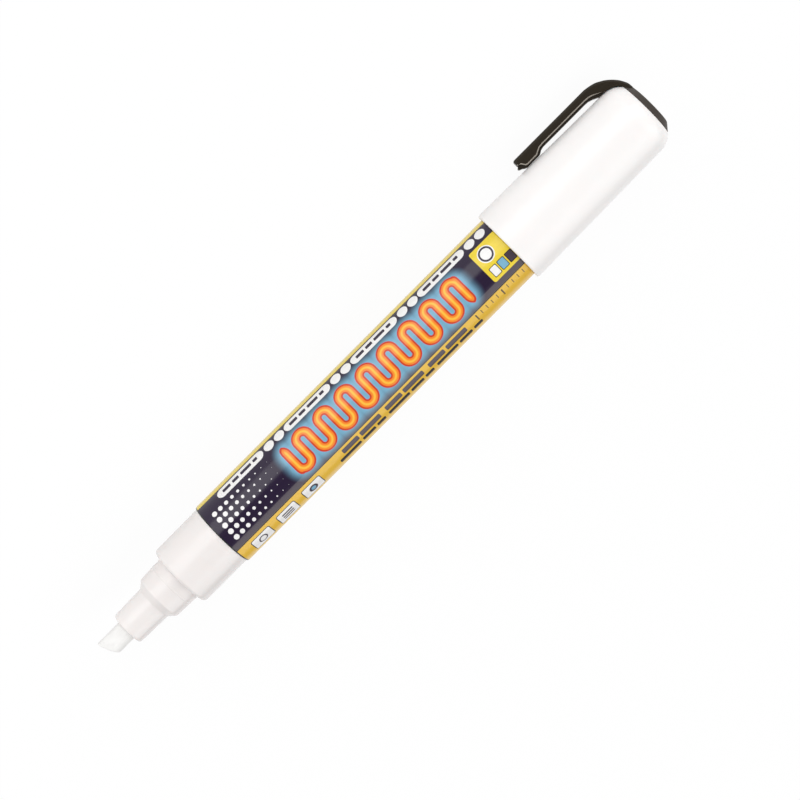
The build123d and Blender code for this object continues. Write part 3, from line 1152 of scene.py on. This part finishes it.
class CoilTree(NodeBuild):
    """Geometry nodes that wind a wire into a coil spring."""

    STEPS_PER_TURN = 40
    WIRE_SIDES = 16
    SHARP = 60.0

    def __init__(self) -> None:
        """Builds the tree."""
        super().__init__("wound_coil", {
            "Turns": "NodeSocketFloat",
            "Coil Radius": "NodeSocketFloat",
            "Length": "NodeSocketFloat",
            "Wire Radius": "NodeSocketFloat",
            "Start": "NodeSocketVector",
            "Material": "NodeSocketMaterial",
        })
        take = self.inputs
        line = self.call("GeometryNodeCurveSpiral", {
            "Resolution": self.STEPS_PER_TURN,
            "Rotations": take["Turns"],
            "Start Radius": take["Coil Radius"],
            "End Radius": take["Coil Radius"],
            "Height": take["Length"],
        })
        feeds = {"Resolution": self.WIRE_SIDES, "Radius": take["Wire Radius"]}
        ring = self.call("GeometryNodeCurvePrimitiveCircle", feeds)
        feeds = {"Curve": line, "Profile Curve": ring, "Fill Caps": True}
        wire = self.call("GeometryNodeCurveToMesh", feeds)
        feeds = {"Geometry": wire, "Translation": take["Start"], "Rotation": (0.0, -math.pi / 2, 0.0)}
        self.close(self.call("GeometryNodeTransform", feeds))

    def wind(self, name: str, values: dict[str, object]) -> Piece:
        """Makes a coil along the marker's axis.

        Args:
            name: The piece's name.
            values: The tree's inputs by name, with lengths in metres.

        Returns:
            The coil.
        """
        piece = self.run(name, bpy.data.meshes.new(name), values)
        outward(piece.data, self.SHARP)
        return piece


def united(first: Piece, others: Sequence[Piece]) -> Piece:
    """Joins closed solids into one.

    Args:
        first: The solid that the others join.
        others: The other solids, which are used up.

    Returns:
        The first solid, with all of them in it.
    """
    for other in others:
        modifier = first.modifiers.new("join", "BOOLEAN")
        modifier.operation = "UNION"
        modifier.solver = "MANIFOLD"
        modifier.material_mode = "TRANSFER"
        modifier.object = other
    flattened(first)
    for other in others:
        bpy.data.objects.remove(other)
    return first


def prism(name: str, outline: Sequence[Point], half_width: float) -> tuple[Piece, BMesh]:
    """A plate with a given side outline, in millimetres in the marker's own directions.

    Args:
        name: The object's name.
        outline: (x, z) points of its side, in order.
        half_width: Half its width.

    Returns:
        The object and its open bmesh, whose side faces are tagged 0 and the face that follows
        each outline segment is tagged with the segment's number plus 1.
    """
    piece = placed(name, bpy.data.meshes.new(name))
    work = bmesh.new()
    tag = work.faces.layers.int.new("segment")
    near, far = [[work.verts.new((x, side, z)) for x, z in outline] for side in (-half_width, half_width)]
    work.faces.new(near)
    work.faces.new(far[::-1])
    for i in range(len(outline)):
        j = (i + 1) % len(outline)
        face = work.faces.new((near[j], near[i], far[i], far[j]))
        face[tag] = i + 1
    bmesh.ops.recalc_face_normals(work, faces=work.faces)
    return piece, work


def ease_edges(
    work: BMesh, edges: Iterable[bmesh.types.BMEdge], size: float, steps: int, slot: int = -1
) -> None:
    """Rounds some edges of an open bmesh.

    Args:
        work: The bmesh.
        edges: The edges.
        size: How far the rounding reaches to each side.
        steps: How many faces the rounding has.
        slot: The material slot of the new faces, or -1 for that of their neighbours.
    """
    bmesh.ops.bevel(
        work, geom=list(edges), offset=size, segments=steps, profile=0.5, affect="EDGES", material=slot
    )


def laid_down(piece: Piece, work: BMesh) -> None:
    """Writes a bmesh drawn in the marker's own millimetres into its object, where the marker lies.

    Args:
        piece: The object.
        work: The open bmesh, which is closed.
    """
    for vertex in work.verts:
        vertex.co = PLACE.at(*vertex.co)
    bmesh.ops.recalc_face_normals(work, faces=work.faces)
    work.to_mesh(piece.data)
    work.free()


# The marker's sub-assemblies


class Workshop:
    """The finishes and the shape makers that every sub-assembly uses."""

    def __init__(self) -> None:
        """Builds them once."""
        self.finish = Finishes()
        self.lathe = TurnedTree()
        self.coiler = CoilTree()

    def keep(self, piece: Piece, body: str, slot: str, *nodes: str) -> None:
        """Hands a finished piece to the frame.

        Args:
            piece: The piece.
            body: The body that it rides on.
            slot: The record's material slot, which is not used.
            *nodes: The CAD nodes that it stands for.
        """
        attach(piece, body)
        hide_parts(*nodes)
        LOG.info("piece %s on %s, %d faces", piece.name, body, len(piece.data.polygons))

    @staticmethod
    def dress(node: str, material: Material) -> None:
        """Gives a CAD node its finish.

        Args:
            node: The node's name.
            material: The finish.
        """
        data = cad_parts[node].data
        data.materials.clear()
        data.materials.append(material)
        LOG.info("node %s dressed in %s", node, material.name)


@dataclass
class Barrel:
    """The barrel tube, its film label and the plug in its tail."""

    shop: Workshop
    label_radius: float = 7.8
    label_segments: int = 256
    film: float = 0.12
    film_lip: float = 0.02
    film_knee: Point = (0.14, 0.03)
    film_ease: float = 0.4
    length: float = 86.4
    lead_start: float = 84.3
    lead_length: float = 0.6
    lead_drop: float = 0.1
    body_radius: float = 7.66
    seat_radius: float = 7.45
    bore_radius: float = 6.5
    tail: float = 97.8
    tail_chamfer: float = 0.5
    tail_rounds: Point = (0.2, 0.1)
    plug_front: float = 90.8
    plug_radius: float = 6.48
    plug_round: float = 0.15
    plug_well: float = 5.18
    plug_well_round: float = 0.3
    plug_floor: float = 1.4
    flange_radius: float = 7.15
    flange_round: float = 0.12
    flange_chamfer: float = 0.4
    flange_back: float = 99.0
    lap_turns: Point = (-1.70, -1.62)
    lap_height: float = 0.05

    def build(self) -> None:
        """Makes and hands over the three pieces."""
        self._tube()
        self._label()
        self._plug()

    def _lead(self, radius: float) -> list[Corner]:
        """The rear end of the label's seat, eased for the cap's mouth.

        Args:
            radius: The seat's radius.

        Returns:
            Its corners, towards the rear.
        """
        low = radius - self.lead_drop
        step = -self.lead_start - self.lead_length
        return [Corner(-self.lead_start, radius), Corner(step, low), Corner(-self.length, low)]

    def _tube(self) -> None:
        """Makes the white barrel under the label, with its bare tail."""
        corners = [
            Corner(0, self.bore_radius),
            Corner(0, self.body_radius),
            *self._lead(self.body_radius),
            Corner(-self.length, self.seat_radius),
            Corner(self.tail_chamfer - self.tail, self.seat_radius, self.tail_rounds[0]),
            Corner(-self.tail, self.seat_radius - self.tail_chamfer, self.tail_rounds[1]),
            Corner(-self.tail, self.bore_radius),
        ]
        piece = self.shop.lathe.turn("barrel_body", Profile(corners, True), self.shop.finish.nose_white)
        self.shop.keep(piece, "barrel", "white_satin", "barrel_tube")

    def _label(self) -> None:
        """Makes the printed film, lapped on itself along one line."""
        inner = self.label_radius - self.film
        corners = [
            Corner(0, inner),
            Corner(0, inner + self.film_lip),
            Corner(-self.film_knee[0], self.label_radius - self.film_knee[1]),
            Corner(-self.film_ease, self.label_radius),
            *self._lead(self.label_radius),
            *reversed(self._lead(inner)),
        ]
        profile, material = Profile(corners, True), self.shop.finish.print
        piece = self.shop.lathe.turn("label_sleeve", profile, material, self.label_segments)
        for vertex in piece.data.vertices:
            self._lap(vertex)
        self.shop.keep(piece, "barrel", "label_film", "barrel_label")

    def _lap(self, vertex: bpy.types.MeshVertex) -> None:
        """Lifts the film a little where its edge laps over its start.

        Args:
            vertex: A point of the film.
        """
        out = vertex.co - PLACE.origin
        out.x = 0
        turn = math.atan2(out.dot(-PLACE.clip_side), out.dot(PLACE.shown_side))
        outside = out.length / MM > self.label_radius - self.film / 2
        if outside and self.lap_turns[0] < turn < self.lap_turns[1]:
            vertex.co += out.normalized() * self.lap_height * MM

    def _plug(self) -> None:
        """Makes the plug that closes the tail, hollow towards the ink."""
        floor = self.plug_floor - self.flange_back
        corners = [
            Corner(floor, 0),
            Corner(floor, self.plug_well, self.plug_well_round),
            Corner(-self.plug_front, self.plug_well),
            Corner(-self.plug_front, self.plug_radius, self.plug_round),
            Corner(-self.tail, self.plug_radius),
            Corner(-self.tail, self.flange_radius, self.flange_round),
            Corner(self.flange_chamfer - self.flange_back, self.flange_radius, self.plug_round),
            Corner(-self.flange_back, self.flange_radius - self.flange_chamfer, self.plug_round),
            Corner(-self.flange_back, 0),
        ]
        piece = self.shop.lathe.turn("tail_stopper", Profile(corners, False), self.shop.finish.nose_white)
        self.shop.keep(piece, "barrel", "white_satin", "tail_plug")


@dataclass
class Nose:
    """The stepped nose section that holds the valve and the nib."""

    shop: Workshop
    segments: int = 224
    plug_back: float = -15.0
    plug_radius: float = 6.48
    plug_round: float = 0.35
    valve_radius: float = 5.2
    valve_front: float = 2.5
    room_radius: float = 4.3
    collar: float = 12.6
    collar_rear_radius: float = 7.45
    collar_rear_round: float = 0.06
    collar_front_radius: float = 7.4
    collar_front_round: float = 0.8
    base: float = 18.7
    base_rear_radius: float = 5.6
    base_rear_round: float = 0.22
    base_front_radius: float = 5.375
    base_front_round: float = 0.35
    bead: float = 14.8
    bead_width: float = 0.4
    bead_height: float = 0.06
    bead_slope: float = 0.12
    bead_foot_round: float = 0.05
    bead_top_round: float = 0.1
    cone: float = 20.3
    cone_round: float = 0.5
    tube_rear_radius: float = 4.075
    front: float = 28.2
    front_round: float = 0.45
    tube_front_radius: float = 3.875
    guide_radius: float = 2.35
    guide_round: float = 0.12
    guide_back: float = 19.5
    guide_taper: float = 2.2

    def build(self) -> None:
        """Makes and hands over the nose."""
        fall = (self.base_rear_radius - self.base_front_radius) / (self.base - self.collar)
        high = self.base_rear_radius - fall * (self.bead - self.collar)
        low = high - fall * self.bead_width
        top = high + self.bead_height
        bead_end = self.bead + self.bead_width
        corners = [
            Corner(self.plug_back, self.valve_radius),
            Corner(self.plug_back, self.plug_radius, self.plug_round),
            Corner(0, self.plug_radius),
            Corner(0, self.collar_rear_radius, self.collar_rear_round),
            Corner(self.collar, self.collar_front_radius, self.collar_front_round),
            Corner(self.collar, self.base_rear_radius, self.base_rear_round),
            Corner(self.bead, high, self.bead_foot_round),
            Corner(self.bead + self.bead_slope, top, self.bead_top_round),
            Corner(bead_end - self.bead_slope, top, self.bead_top_round),
            Corner(bead_end, low, self.bead_foot_round),
            Corner(self.base, self.base_front_radius, self.base_front_round),
            Corner(self.cone, self.tube_rear_radius, self.cone_round),
            Corner(self.front, self.tube_front_radius, self.front_round),
            Corner(self.front, self.guide_radius, self.guide_round),
            Corner(self.guide_back, self.guide_radius),
            Corner(self.guide_back - self.guide_taper, self.room_radius),
            Corner(self.valve_front, self.room_radius),
            Corner(self.valve_front, self.valve_radius),
        ]
        profile, material = Profile(corners, True), self.shop.finish.nose_white
        piece = self.shop.lathe.turn("stepped_nose", profile, material, self.segments)
        self.shop.keep(piece, "barrel", "white_satin", "nose_section")


@dataclass
class Nib:
    """The chisel nib: a fibre rod with a slanted end and two bevels, all softly rounded."""

    shop: Workshop
    radius: float = 2.3
    rear: float = 5.4
    tip: float = 34.88
    slant: float = 2.1
    bevel: float = 2.8
    edge: float = 2.6
    rounding: float = 0.2
    blend: float = 0.18
    crown: float = 0.2
    segments: int = 128
    end_rings: int = 29
    edge_rings: int = 10
    side_rings: int = 12
    sharp: float = 50.0

    def _end(self, y: np.ndarray, z: np.ndarray) -> np.ndarray:
        """How far the end reaches at places across the rod.

        Args:
            y: Places across the chisel's edge.
            z: Places along the chisel's edge, away from the clip's side.

        Returns:
            The end's place along the axis.
        """
        share = z / self.radius
        cut = self.tip - self.slant * (share + 1) / 2 + self.crown * (1 - share ** 2)
        side = self.tip - self.bevel * (np.abs(y) - self.edge / 2) / (self.radius - self.edge / 2)
        gap = np.clip(0.5 + (side - cut) / (2 * self.blend), 0, 1)
        joined = side * (1 - gap) + cut * gap - self.blend * gap * (1 - gap)
        reach = np.clip((np.hypot(y, z) - self.radius + self.rounding) / self.rounding, 0, 1)
        return joined - self.rounding * (1 - np.sqrt(1 - reach ** 2))

    @staticmethod
    def _steps(end: float, count: int) -> np.ndarray:
        """Equal steps up to an end, without the zero that they start from."""
        return np.linspace(0, end, count + 1)[1:]

    def _rings(self) -> list[np.ndarray]:
        """The rod's rings of points, out over its end and back along its side.

        Returns:
            The rings, with a point in each row.
        """
        turns = np.arange(self.segments) * 2 * math.pi / self.segments
        inner = self._steps(self.radius - self.rounding, self.end_rings)
        outer = self.radius - self.rounding * (1 - np.sin(self._steps(math.pi / 2, self.edge_rings)))
        rings = []
        for radius in np.concatenate((inner, outer)):
            y, z = radius * np.cos(turns), radius * np.sin(turns)
            rings.append(np.stack((self._end(y, z), y, z), 1))
        last = rings[-1]
        for share in self._steps(1.0, self.side_rings):
            ring = last.copy()
            ring[:, 0] = last[:, 0] * (1 - share) + self.rear * share
            rings.append(ring)
        return rings

    def build(self) -> None:
        """Makes and hands over the nib."""
        rings, count = self._rings(), self.segments
        middle = (float(self._end(np.zeros(1), np.zeros(1))[0]), 0.0, 0.0)
        points = [middle, *(tuple(point) for ring in rings for point in ring)]
        pairs = [(i, (i + 1) % count) for i in range(count)]
        starts = [1 + row * count for row in range(len(rings))]
        faces: list[tuple[int, ...]] = [(0, 1 + i, 1 + j) for i, j in pairs]
        for a, b in zip(starts, starts[1:]):
            faces += [(a + i, b + i, b + j, a + j) for i, j in pairs]
        faces.append(tuple(starts[-1] + i for i in range(count)))
        mesh = bpy.data.meshes.new("chisel_nib")
        mesh.from_pydata([PLACE.at(*point) for point in points], [], faces)
        mesh.materials.append(self.shop.finish.fibre)
        outward(mesh, self.sharp)
        self.shop.keep(placed("chisel_nib", mesh), "nib", "nib_fibre", "nib")


@dataclass
class Valve:
    """The valve behind the nib, and the ball that mixes the ink."""

    shop: Workshop
    front: float = -0.875
    back: float = -11.975
    floor: float = -12.3
    turns: float = 6.0
    coil_dia: float = 4.6
    wire_dia: float = 0.55
    travel: float = 2.5

    def build(self) -> None:
        """Dresses the valve's solids and winds its spring."""
        finish = self.shop.finish
        self.shop.dress("valve_case", finish.natural)
        self.shop.dress("valve_stem", finish.natural)
        self.shop.dress("valve_seat", finish.seal)
        self.shop.dress("mixing_ball", finish.ball)
        piece = self.shop.coiler.wind("valve_coil", {
            "Turns": self.turns,
            "Coil Radius": self.coil_dia / 2 * MM,
            "Length": (self.front - self.back) * MM,
            "Wire Radius": self.wire_dia / 2 * MM,
            "Start": tuple(PLACE.at(self.front, 0, 0)),
            "Material": finish.wire,
        })
        self.shop.keep(piece, "barrel", "steel", "valve_spring")
        tuple(PLACE.at(self.floor, 0, 0))
        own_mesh(piece)


@dataclass
class Cap:
    """The posted cap: its shell and the liner that seals the nose when it is closed."""

    shop: Workshop
    segments: int = 256
    mouth: float = -84.6
    mouth_radius: float = 8.9
    mouth_round: float = 0.3
    mouth_bore: float = 7.95
    mouth_bore_round: float = 0.15
    mouth_depth: float = 2.0
    end: float = -124.7
    end_radius: float = 6.8
    end_wall: float = 1.75
    shoulder: float = -121.1
    shoulder_radius: float = 8.45
    shoulder_steps: int = 22
    grip_radius: float = 7.5
    grip_lead: float = 0.4
    grip_end: float = -118.6
    peg_hole: float = 2.52
    liner_seat: float = 6.47
    liner_gap: float = 0.02
    liner_open: float = -99.3
    liner_open_round: float = 0.2
    liner_flange: float = 1.8
    liner_flange_radius: float = 7.48
    liner_flange_round: float = 0.1
    liner_radius: float = 6.45
    liner_bore: float = 5.75
    liner_floor: float = 0.9
    liner_floor_round: float = 0.25
    lip_back: float = 1.4
    lip_half: float = 0.5
    lip_height: float = 0.225
    lip_round: float = 0.2

    def shoulder_arc(self, out: float = 0.0) -> list[Point]:
        """The cap's round shoulder.

        Args:
            out: A distance that is added to its radii.

        Returns:
            (x, radius) points from the end to the tapered side.
        """
        start = np.array((self.shoulder, self.shoulder_radius))
        end = np.array((self.end, self.end_radius))
        way = start - np.array((self.mouth, self.mouth_radius))
        way /= np.linalg.norm(way)
        normal = np.array((way[1], -way[0]))
        normal = normal if normal[1] < 0 else -normal
        chord = end - start
        radius = float(chord @ chord) / (2 * float(chord @ normal))
        middle = start + normal * radius
        return [(x, r + out) for x, r in arc(middle, end - middle, start - middle, self.shoulder_steps)]

    def build(self) -> None:
        """Makes and hands over the shell and the liner."""
        step = self.mouth - self.mouth_depth
        floor = self.end + self.end_wall
        corners = [
            *(Corner(x, r) for x, r in self.shoulder_arc()),
            Corner(self.mouth, self.mouth_radius, self.mouth_round),
            Corner(self.mouth, self.mouth_bore, self.mouth_bore_round),
            Corner(step, self.mouth_bore),
            Corner(step, self.grip_radius + self.grip_lead),
            Corner(step - self.grip_lead, self.grip_radius),
            Corner(self.grip_end, self.grip_radius),
            Corner(self.grip_end, self.liner_seat),
            Corner(floor, self.liner_seat),
            Corner(floor, self.peg_hole),
            Corner(self.end, self.peg_hole),
        ]
        profile, material = Profile(corners, True), self.shop.finish.cap_white
        piece = self.shop.lathe.turn("cap_body", profile, material, self.segments)
        self.shop.keep(piece, "cap", "white_gloss", "cap_shell")
        self._liner()

    def _liner(self) -> None:
        """Makes the liner, with the soft lip that grips the nose."""
        back = self.end + self.end_wall + self.liner_gap
        floor = back + self.liner_floor
        lip = self.liner_open - self.lip_back
        flange = self.liner_open - self.liner_flange
        corners = [
            Corner(floor, 0),
            Corner(floor, self.liner_bore, self.liner_floor_round),
            Corner(lip - 2 * self.lip_half, self.liner_bore),
            Corner(lip - self.lip_half, self.liner_bore - self.lip_height, self.lip_round),
            Corner(lip, self.liner_bore),
            Corner(self.liner_open, self.liner_bore, self.liner_open_round),
            Corner(self.liner_open, self.liner_flange_radius, self.liner_flange_round),
            Corner(flange, self.liner_flange_radius),
            Corner(flange, self.liner_radius),
            Corner(back, self.liner_radius),
            Corner(back, 0),
        ]
        piece = self.shop.lathe.turn("cap_seal", Profile(corners, False), self.shop.finish.natural)
        self.shop.keep(piece, "cap", "natural_plastic", "cap_liner")


@dataclass
class Clip:
    """The black clip: a crown on the cap's end, a strap over its shoulder and a sprung arm."""

    shop: Workshop
    cap: Cap
    half_width: float = 2.2
    outer: float = 11.78
    tip: float = -97.7
    corner_round: float = 0.8
    corner_steps: int = 6
    edge_round: float = 0.45
    edge_steps: int = 5
    wall_round: float = 0.25
    wall_steps: int = 3
    steep: float = math.radians(60)
    same_place: float = 1e-4
    sharp: float = 38.0
    rib_half_width: float = 1.5
    rib_top: float = 10.6
    rib_setback: float = 0.2
    rib_round: float = 0.1
    rib_steps: int = 2
    crown_top: float = -126.2
    crown_radius: float = 5.05
    crown_edge: float = 0.45
    crown_rim: float = 0.08
    crown_lap: float = 0.45
    peg_radius: float = 2.5
    seat_gap: float = 0.02
    strap_lead: float = 2.4
    strap_start: float = -118.5
    strap_steps: int = 6
    strap_shares: tuple[Point, ...] = (
        (0.310, 0.932), (0.474, 0.844), (0.596, 0.759), (0.731, 0.628),
        (0.852, 0.473), (0.936, 0.313), (0.987, 0.168),
    )
    foot: float = -121.0
    foot_radius: float = 8.485
    foot_step: float = 0.01
    wall_edge: tuple[Point, ...] = (
        (-120.9, 8.85), (-119.0, 9.65), (-118.1, 9.9), (-117.0, 9.98), (-104.6, 9.98), (-103.7, 9.87),
        (-102.95, 9.5), (-102.3, 9.16), (-99.6, 9.13), (-99.05, 9.36), (-98.55, 10.16), (-98.1, 10.4),
        (-97.7, 10.45),
    )
    rib_edge: tuple[Point, ...] = (
        (-119.9, 8.485), (-118.6, 9.12), (-117.6, 9.44), (-116.9, 9.5), (-104.4, 9.5), (-103.6, 9.3),
        (-103.0, 8.9), (-102.6, 8.774), (-99.1, 8.774), (-98.6, 8.98), (-98.1, 9.34), (-97.4, 9.62),
        (-97.35, 9.95), (-97.7, 10.2),
    )
    bend: Point = (-119.0, -116.4)

    def _strap(self) -> list[Point]:
        """The strap's outer line, a smooth curve through its knots.

        Returns:
            (x, radius) points from the arm to the crown's top.
        """
        span_x = self.crown_top - self.strap_start
        span_r = self.outer - self.crown_radius
        knots = [(self.strap_start + self.strap_lead, self.outer), (self.strap_start, self.outer)]
        for along, out in self.strap_shares:
            knots.append((self.strap_start + span_x * along, self.crown_radius + span_r * out))
        last_x, last_r = knots[-1]
        knots += [(self.crown_top, self.crown_radius), (last_x, 2 * self.crown_radius - last_r)]
        points = np.array(knots)
        line: list[Point] = []
        for i in range(1, len(points) - 2):
            before, a, b, after = points[i - 1:i + 3]
            for share in np.linspace(0, 1, self.strap_steps, endpoint=False):
                spot = 0.5 * (
                    2 * a + (b - before) * share + (2 * before - 5 * a + 4 * b - after) * share ** 2
                    + (3 * a - before - 3 * b + after) * share ** 3
                )
                line.append((max(float(spot[0]), self.crown_top), float(spot[1])))
        line.append((self.crown_top, self.crown_radius))
        return line

    def _plate(self) -> Piece:
        """The arm's plate and the strap, rounded along their edges.

        Returns:
            The plate.
        """
        outer = [(self.tip, self.outer), *self._strap()]
        inside = self.crown_radius - self.crown_lap
        under = [(self.crown_top, inside), (self.cap.end - self.seat_gap, inside)]
        seat = self.cap.shoulder_arc(self.seat_gap)
        under += [(min(x, self.foot - self.foot_step), r) for x, r in seat]
        under += [(self.foot, self.foot_radius), *self.wall_edge]
        outline = [(x, -r) for x, r in outer + under]
        piece, work = prism("clip_plate", outline, self.half_width)
        piece.data.materials.append(self.shop.finish.black)
        # Slot 1 holds the pale painted highlight for the wall's rim edges
        piece.data.materials.append(self.shop.finish.rim_painted_highlight)
        tag = work.faces.layers.int["segment"]
        last = len(outline)
        tips = [edge for edge in work.edges if {face[tag] for face in edge.link_faces} == {0, last}]
        ease_edges(work, tips, self.corner_round, self.corner_steps)
        tops = set(range(1, len(outer)))
        edges = [edge for edge in work.edges if self._is_top(edge, tag, tops)]
        ease_edges(work, edges, self.edge_round, self.edge_steps)
        lows = set(range(last - len(self.wall_edge) + 1, last))
        edges = [edge for edge in work.edges if self._is_rim(edge, tag, lows)]
        # The rim's rounded faces take slot 1, the painted highlight
        ease_edges(work, edges, self.wall_round, self.wall_steps, slot=1)
        laid_down(piece, work)
        return piece

    def _is_top(self, edge: bmesh.types.BMEdge, tag: bmesh.types.BMLayerItem, segments: set[int]) -> bool:
        """Whether an edge borders the plate's outer face, short of the crown's top.

        Args:
            edge: The edge.
            tag: The layer of the faces' outline segments.
            segments: The segments of the outer face.

        Returns:
            Whether it does.
        """
        tops = [face[tag] in segments for face in edge.link_faces]
        gaps = [vertex.co.x - self.crown_top for vertex in edge.verts]
        short = max(gaps) > 0 and not all(abs(gap) < self.same_place for gap in gaps)
        return tops.count(True) == 1 and edge.calc_face_angle(0.0) > self.steep and short

    @staticmethod
    def _is_rim(edge: bmesh.types.BMEdge, tag: bmesh.types.BMLayerItem, segments: set[int]) -> bool:
        """Whether an edge lies between the plate's flat side and one of some outline segments."""
        tags = {face[tag] for face in edge.link_faces}
        return 0 in tags and bool(tags & segments)

    def _rib(self) -> Piece:
        """The narrower rib under the plate, with the pad near its tip and the gusset at its root.

        Returns:
            The rib.
        """
        root = [(self.foot, self.rib_top), (self.foot, self.foot_radius)]
        outline = [(self.tip - self.rib_setback, self.rib_top), *root, *self.rib_edge]
        piece, work = prism("clip_rib", [(x, -r) for x, r in outline], self.rib_half_width)
        piece.data.materials.append(self.shop.finish.black)
        tag = work.faces.layers.int["segment"]
        shown = set(range(len(root) + 1, len(outline)))
        edges = [edge for edge in work.edges if self._is_rim(edge, tag, shown)]
        ease_edges(work, edges, self.rib_round, self.rib_steps)
        laid_down(piece, work)
        return piece

    def _crown(self) -> Piece:
        """The disc on the cap's end, with its peg.

        Returns:
            The crown.
        """
        base = self.cap.end - self.seat_gap
        peg_end = self.cap.end + self.cap.end_wall
        corners = [
            Corner(self.crown_top, 0),
            Corner(self.crown_top, self.crown_radius, self.crown_edge),
            Corner(base, self.cap.end_radius, self.crown_rim),
            Corner(base, self.peg_radius),
            Corner(peg_end, self.peg_radius),
            Corner(peg_end, 0),
        ]
        # The crown's finish carries a lighter colour that is painted light, over a matt gloss
        profile, material = Profile(corners, False), self.shop.finish.crown_with_painted_light
        return self.shop.lathe.turn("clip_crown_disc", profile, material)

    def build(self) -> None:
        """Makes the clip in one piece."""
        piece = united(self._plate(), [self._rib(), self._crown()])
        piece.name = "sprung_clip"
        outward(piece.data, self.sharp)
        smooth = piece.modifiers.new("even_shading", "WEIGHTED_NORMAL")
        smooth.keep_sharp = True
        flattened(piece)
        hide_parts("clip_crown", "clip_arm")
        start, end = (PLACE.at(x, 0, -self.outer) for x in self.bend)
        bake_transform(piece)
        LOG.info("piece %s across cap and clip_arm, %d faces", piece.name, len(piece.data.polygons))


# The studio


@dataclass(frozen=True)
class SoftBox:
    """A soft lamp: the way to it, its distance and sides in metres, and its brightness."""

    name: str
    way: Triple
    distance: float
    length: float
    width: float
    level: float


@dataclass
class Studio:
    """The pale floor, the white surround, the lamps and the camera."""

    distance: float = 0.6455
    focal: float = 3100.0
    image: float = 800.0
    near: float = 0.01
    turn: float = math.radians(45.10)
    foot: float = -71.3
    shift_along: float = 120.7
    shift_across: float = -31.45
    floor_half: float = 1.6
    floor_tone: float = 0.5
    white: Colour = (1.0, 1.0, 1.0, 1.0)
    world_level: float = 0.31
    surround: float = 0.95
    aim_height: float = 0.009
    boxes: tuple[SoftBox, ...] = (
        SoftBox("front_box", (0.0, -0.918, 0.397), 0.72, 1.05, 0.56, 1.92),
        SoftBox("back_box", (-0.14, 0.60, 0.80), 0.86, 1.4, 0.84, 1.5),
        SoftBox("nose_box", (0.88, -0.42, 0.22), 0.26, 0.22, 0.09, 1.65),
        SoftBox("rear_box", (-0.80, -0.40, 0.30), 0.60, 0.40, 0.30, 2.2),
    )

    def build(self) -> None:
        """Makes the studio."""
        self._floor()
        self._world()
        self._lamps()
        self._camera()

    @staticmethod
    def _seen(graph: Graph) -> Socket:
        """Tells the rays that show the surround: the camera's, a reflection's or through glass.

        Args:
            graph: The tree of the material.

        Returns:
            1 for these rays, 0 for others.
        """
        path = graph.add("ShaderNodeLightPath").outputs
        either = graph.math("MAXIMUM", path["Is Camera Ray"], path["Is Glossy Ray"])
        return graph.math("MAXIMUM", either, path["Is Transmission Ray"])

    def _floor(self) -> None:
        """Makes a pale floor that keeps a faint shadow."""
        mesh = bpy.data.meshes.new("floor")
        half = self.floor_half
        corners = [(-half, -half, 0), (half, -half, 0), (half, half, 0), (-half, half, 0)]
        mesh.from_pydata(corners, [], [(0, 1, 2, 3)])
        material = bpy.data.materials.new("pale_floor")
        material.use_nodes = True
        graph = Graph(material.node_tree)
        material.node_tree.nodes.clear()
        seen = self._seen(graph)
        tone = graph.math("MULTIPLY_ADD", seen, 1.0 - self.floor_tone, self.floor_tone)
        paper = graph.call("ShaderNodeBsdfDiffuse", {"Color": tone})
        light = graph.call("ShaderNodeEmission", {"Color": self.white, "Strength": 1.0})
        share = graph.math("MULTIPLY", seen, self.surround)
        mixed = graph.call("ShaderNodeMixShader", dict(enumerate((share, paper, light))))
        graph.feed(graph.add("ShaderNodeOutputMaterial").inputs[0], mixed)
        mesh.materials.append(material)
        floor = placed("floor", mesh)

    def _world(self) -> None:
        """Makes a plain pale level all round."""
        world = bpy.data.worlds.new("surround")
        world.use_nodes = True
        graph = Graph(world.node_tree)
        world.node_tree.nodes.clear()
        feeds = {"Color": self.white, "Strength": self.world_level}
        shine = graph.call("ShaderNodeBackground", feeds)
        graph.feed(graph.add("ShaderNodeOutputWorld").inputs[0], shine)
        bpy.context.scene.world = world

    def _lamps(self) -> None:
        """Makes the soft boxes: low in front, high behind, a small one off the nose and one off the cap."""
        middle = Vector((0, 0, self.aim_height))
        for box in self.boxes:
            data = bpy.data.lights.new(box.name, "AREA")
            data.shape = "RECTANGLE"
            data.size, data.size_y = box.length, box.width
            data.energy = box.level * math.pi * box.length * box.width
            way = Vector(box.way).normalized()
            lamp = placed(box.name, data)
            lamp.location = middle + way * box.distance
            lamp.rotation_euler = (-way).to_track_quat("-Z", "Y").to_euler()

    def _camera(self) -> None:
        """Makes the photograph's view: the marker runs corner to corner, seen square to its clip."""
        along = Vector((-1, 0, 0))
        tilt = math.atan2(self.shift_along, self.focal)
        back = PLACE.shown_side * math.cos(tilt) + along * math.sin(tilt)
        level = along * math.cos(tilt) - PLACE.shown_side * math.sin(tilt)
        across = -PLACE.clip_side
        right = level * math.cos(self.turn) + across * math.sin(self.turn)
        up = level * math.sin(self.turn) - across * math.cos(self.turn)
        scale = self.distance / self.focal
        spot = PLACE.at(self.foot, 0, 0) + back * self.distance
        spot -= level * (self.shift_along * scale) + across * (self.shift_across * scale)
        data = bpy.data.cameras.new("camera")
        data.sensor_fit = "HORIZONTAL"
        data.lens = data.sensor_width * self.focal / self.image
        data.clip_start = self.near
        camera = placed("camera", data)
        turn = Matrix((right, up, back)).transposed().to_4x4()
        camera.matrix_world = Matrix.Translation(spot) @ turn
        bpy.context.scene.camera = camera
        bpy.context.scene.view_settings.view_transform = "Standard"


def main() -> None:
    """Builds the marker piece by piece, then the studio."""
    logging.basicConfig(level=logging.INFO, format="%(message)s")
    shop = Workshop()
    cap = Cap(shop)
    for part in (Barrel(shop), Nose(shop), Nib(shop), Valve(shop), cap, Clip(shop, cap)):
        part.build()
    Studio().build()


if __name__ == "__main__":
    main()
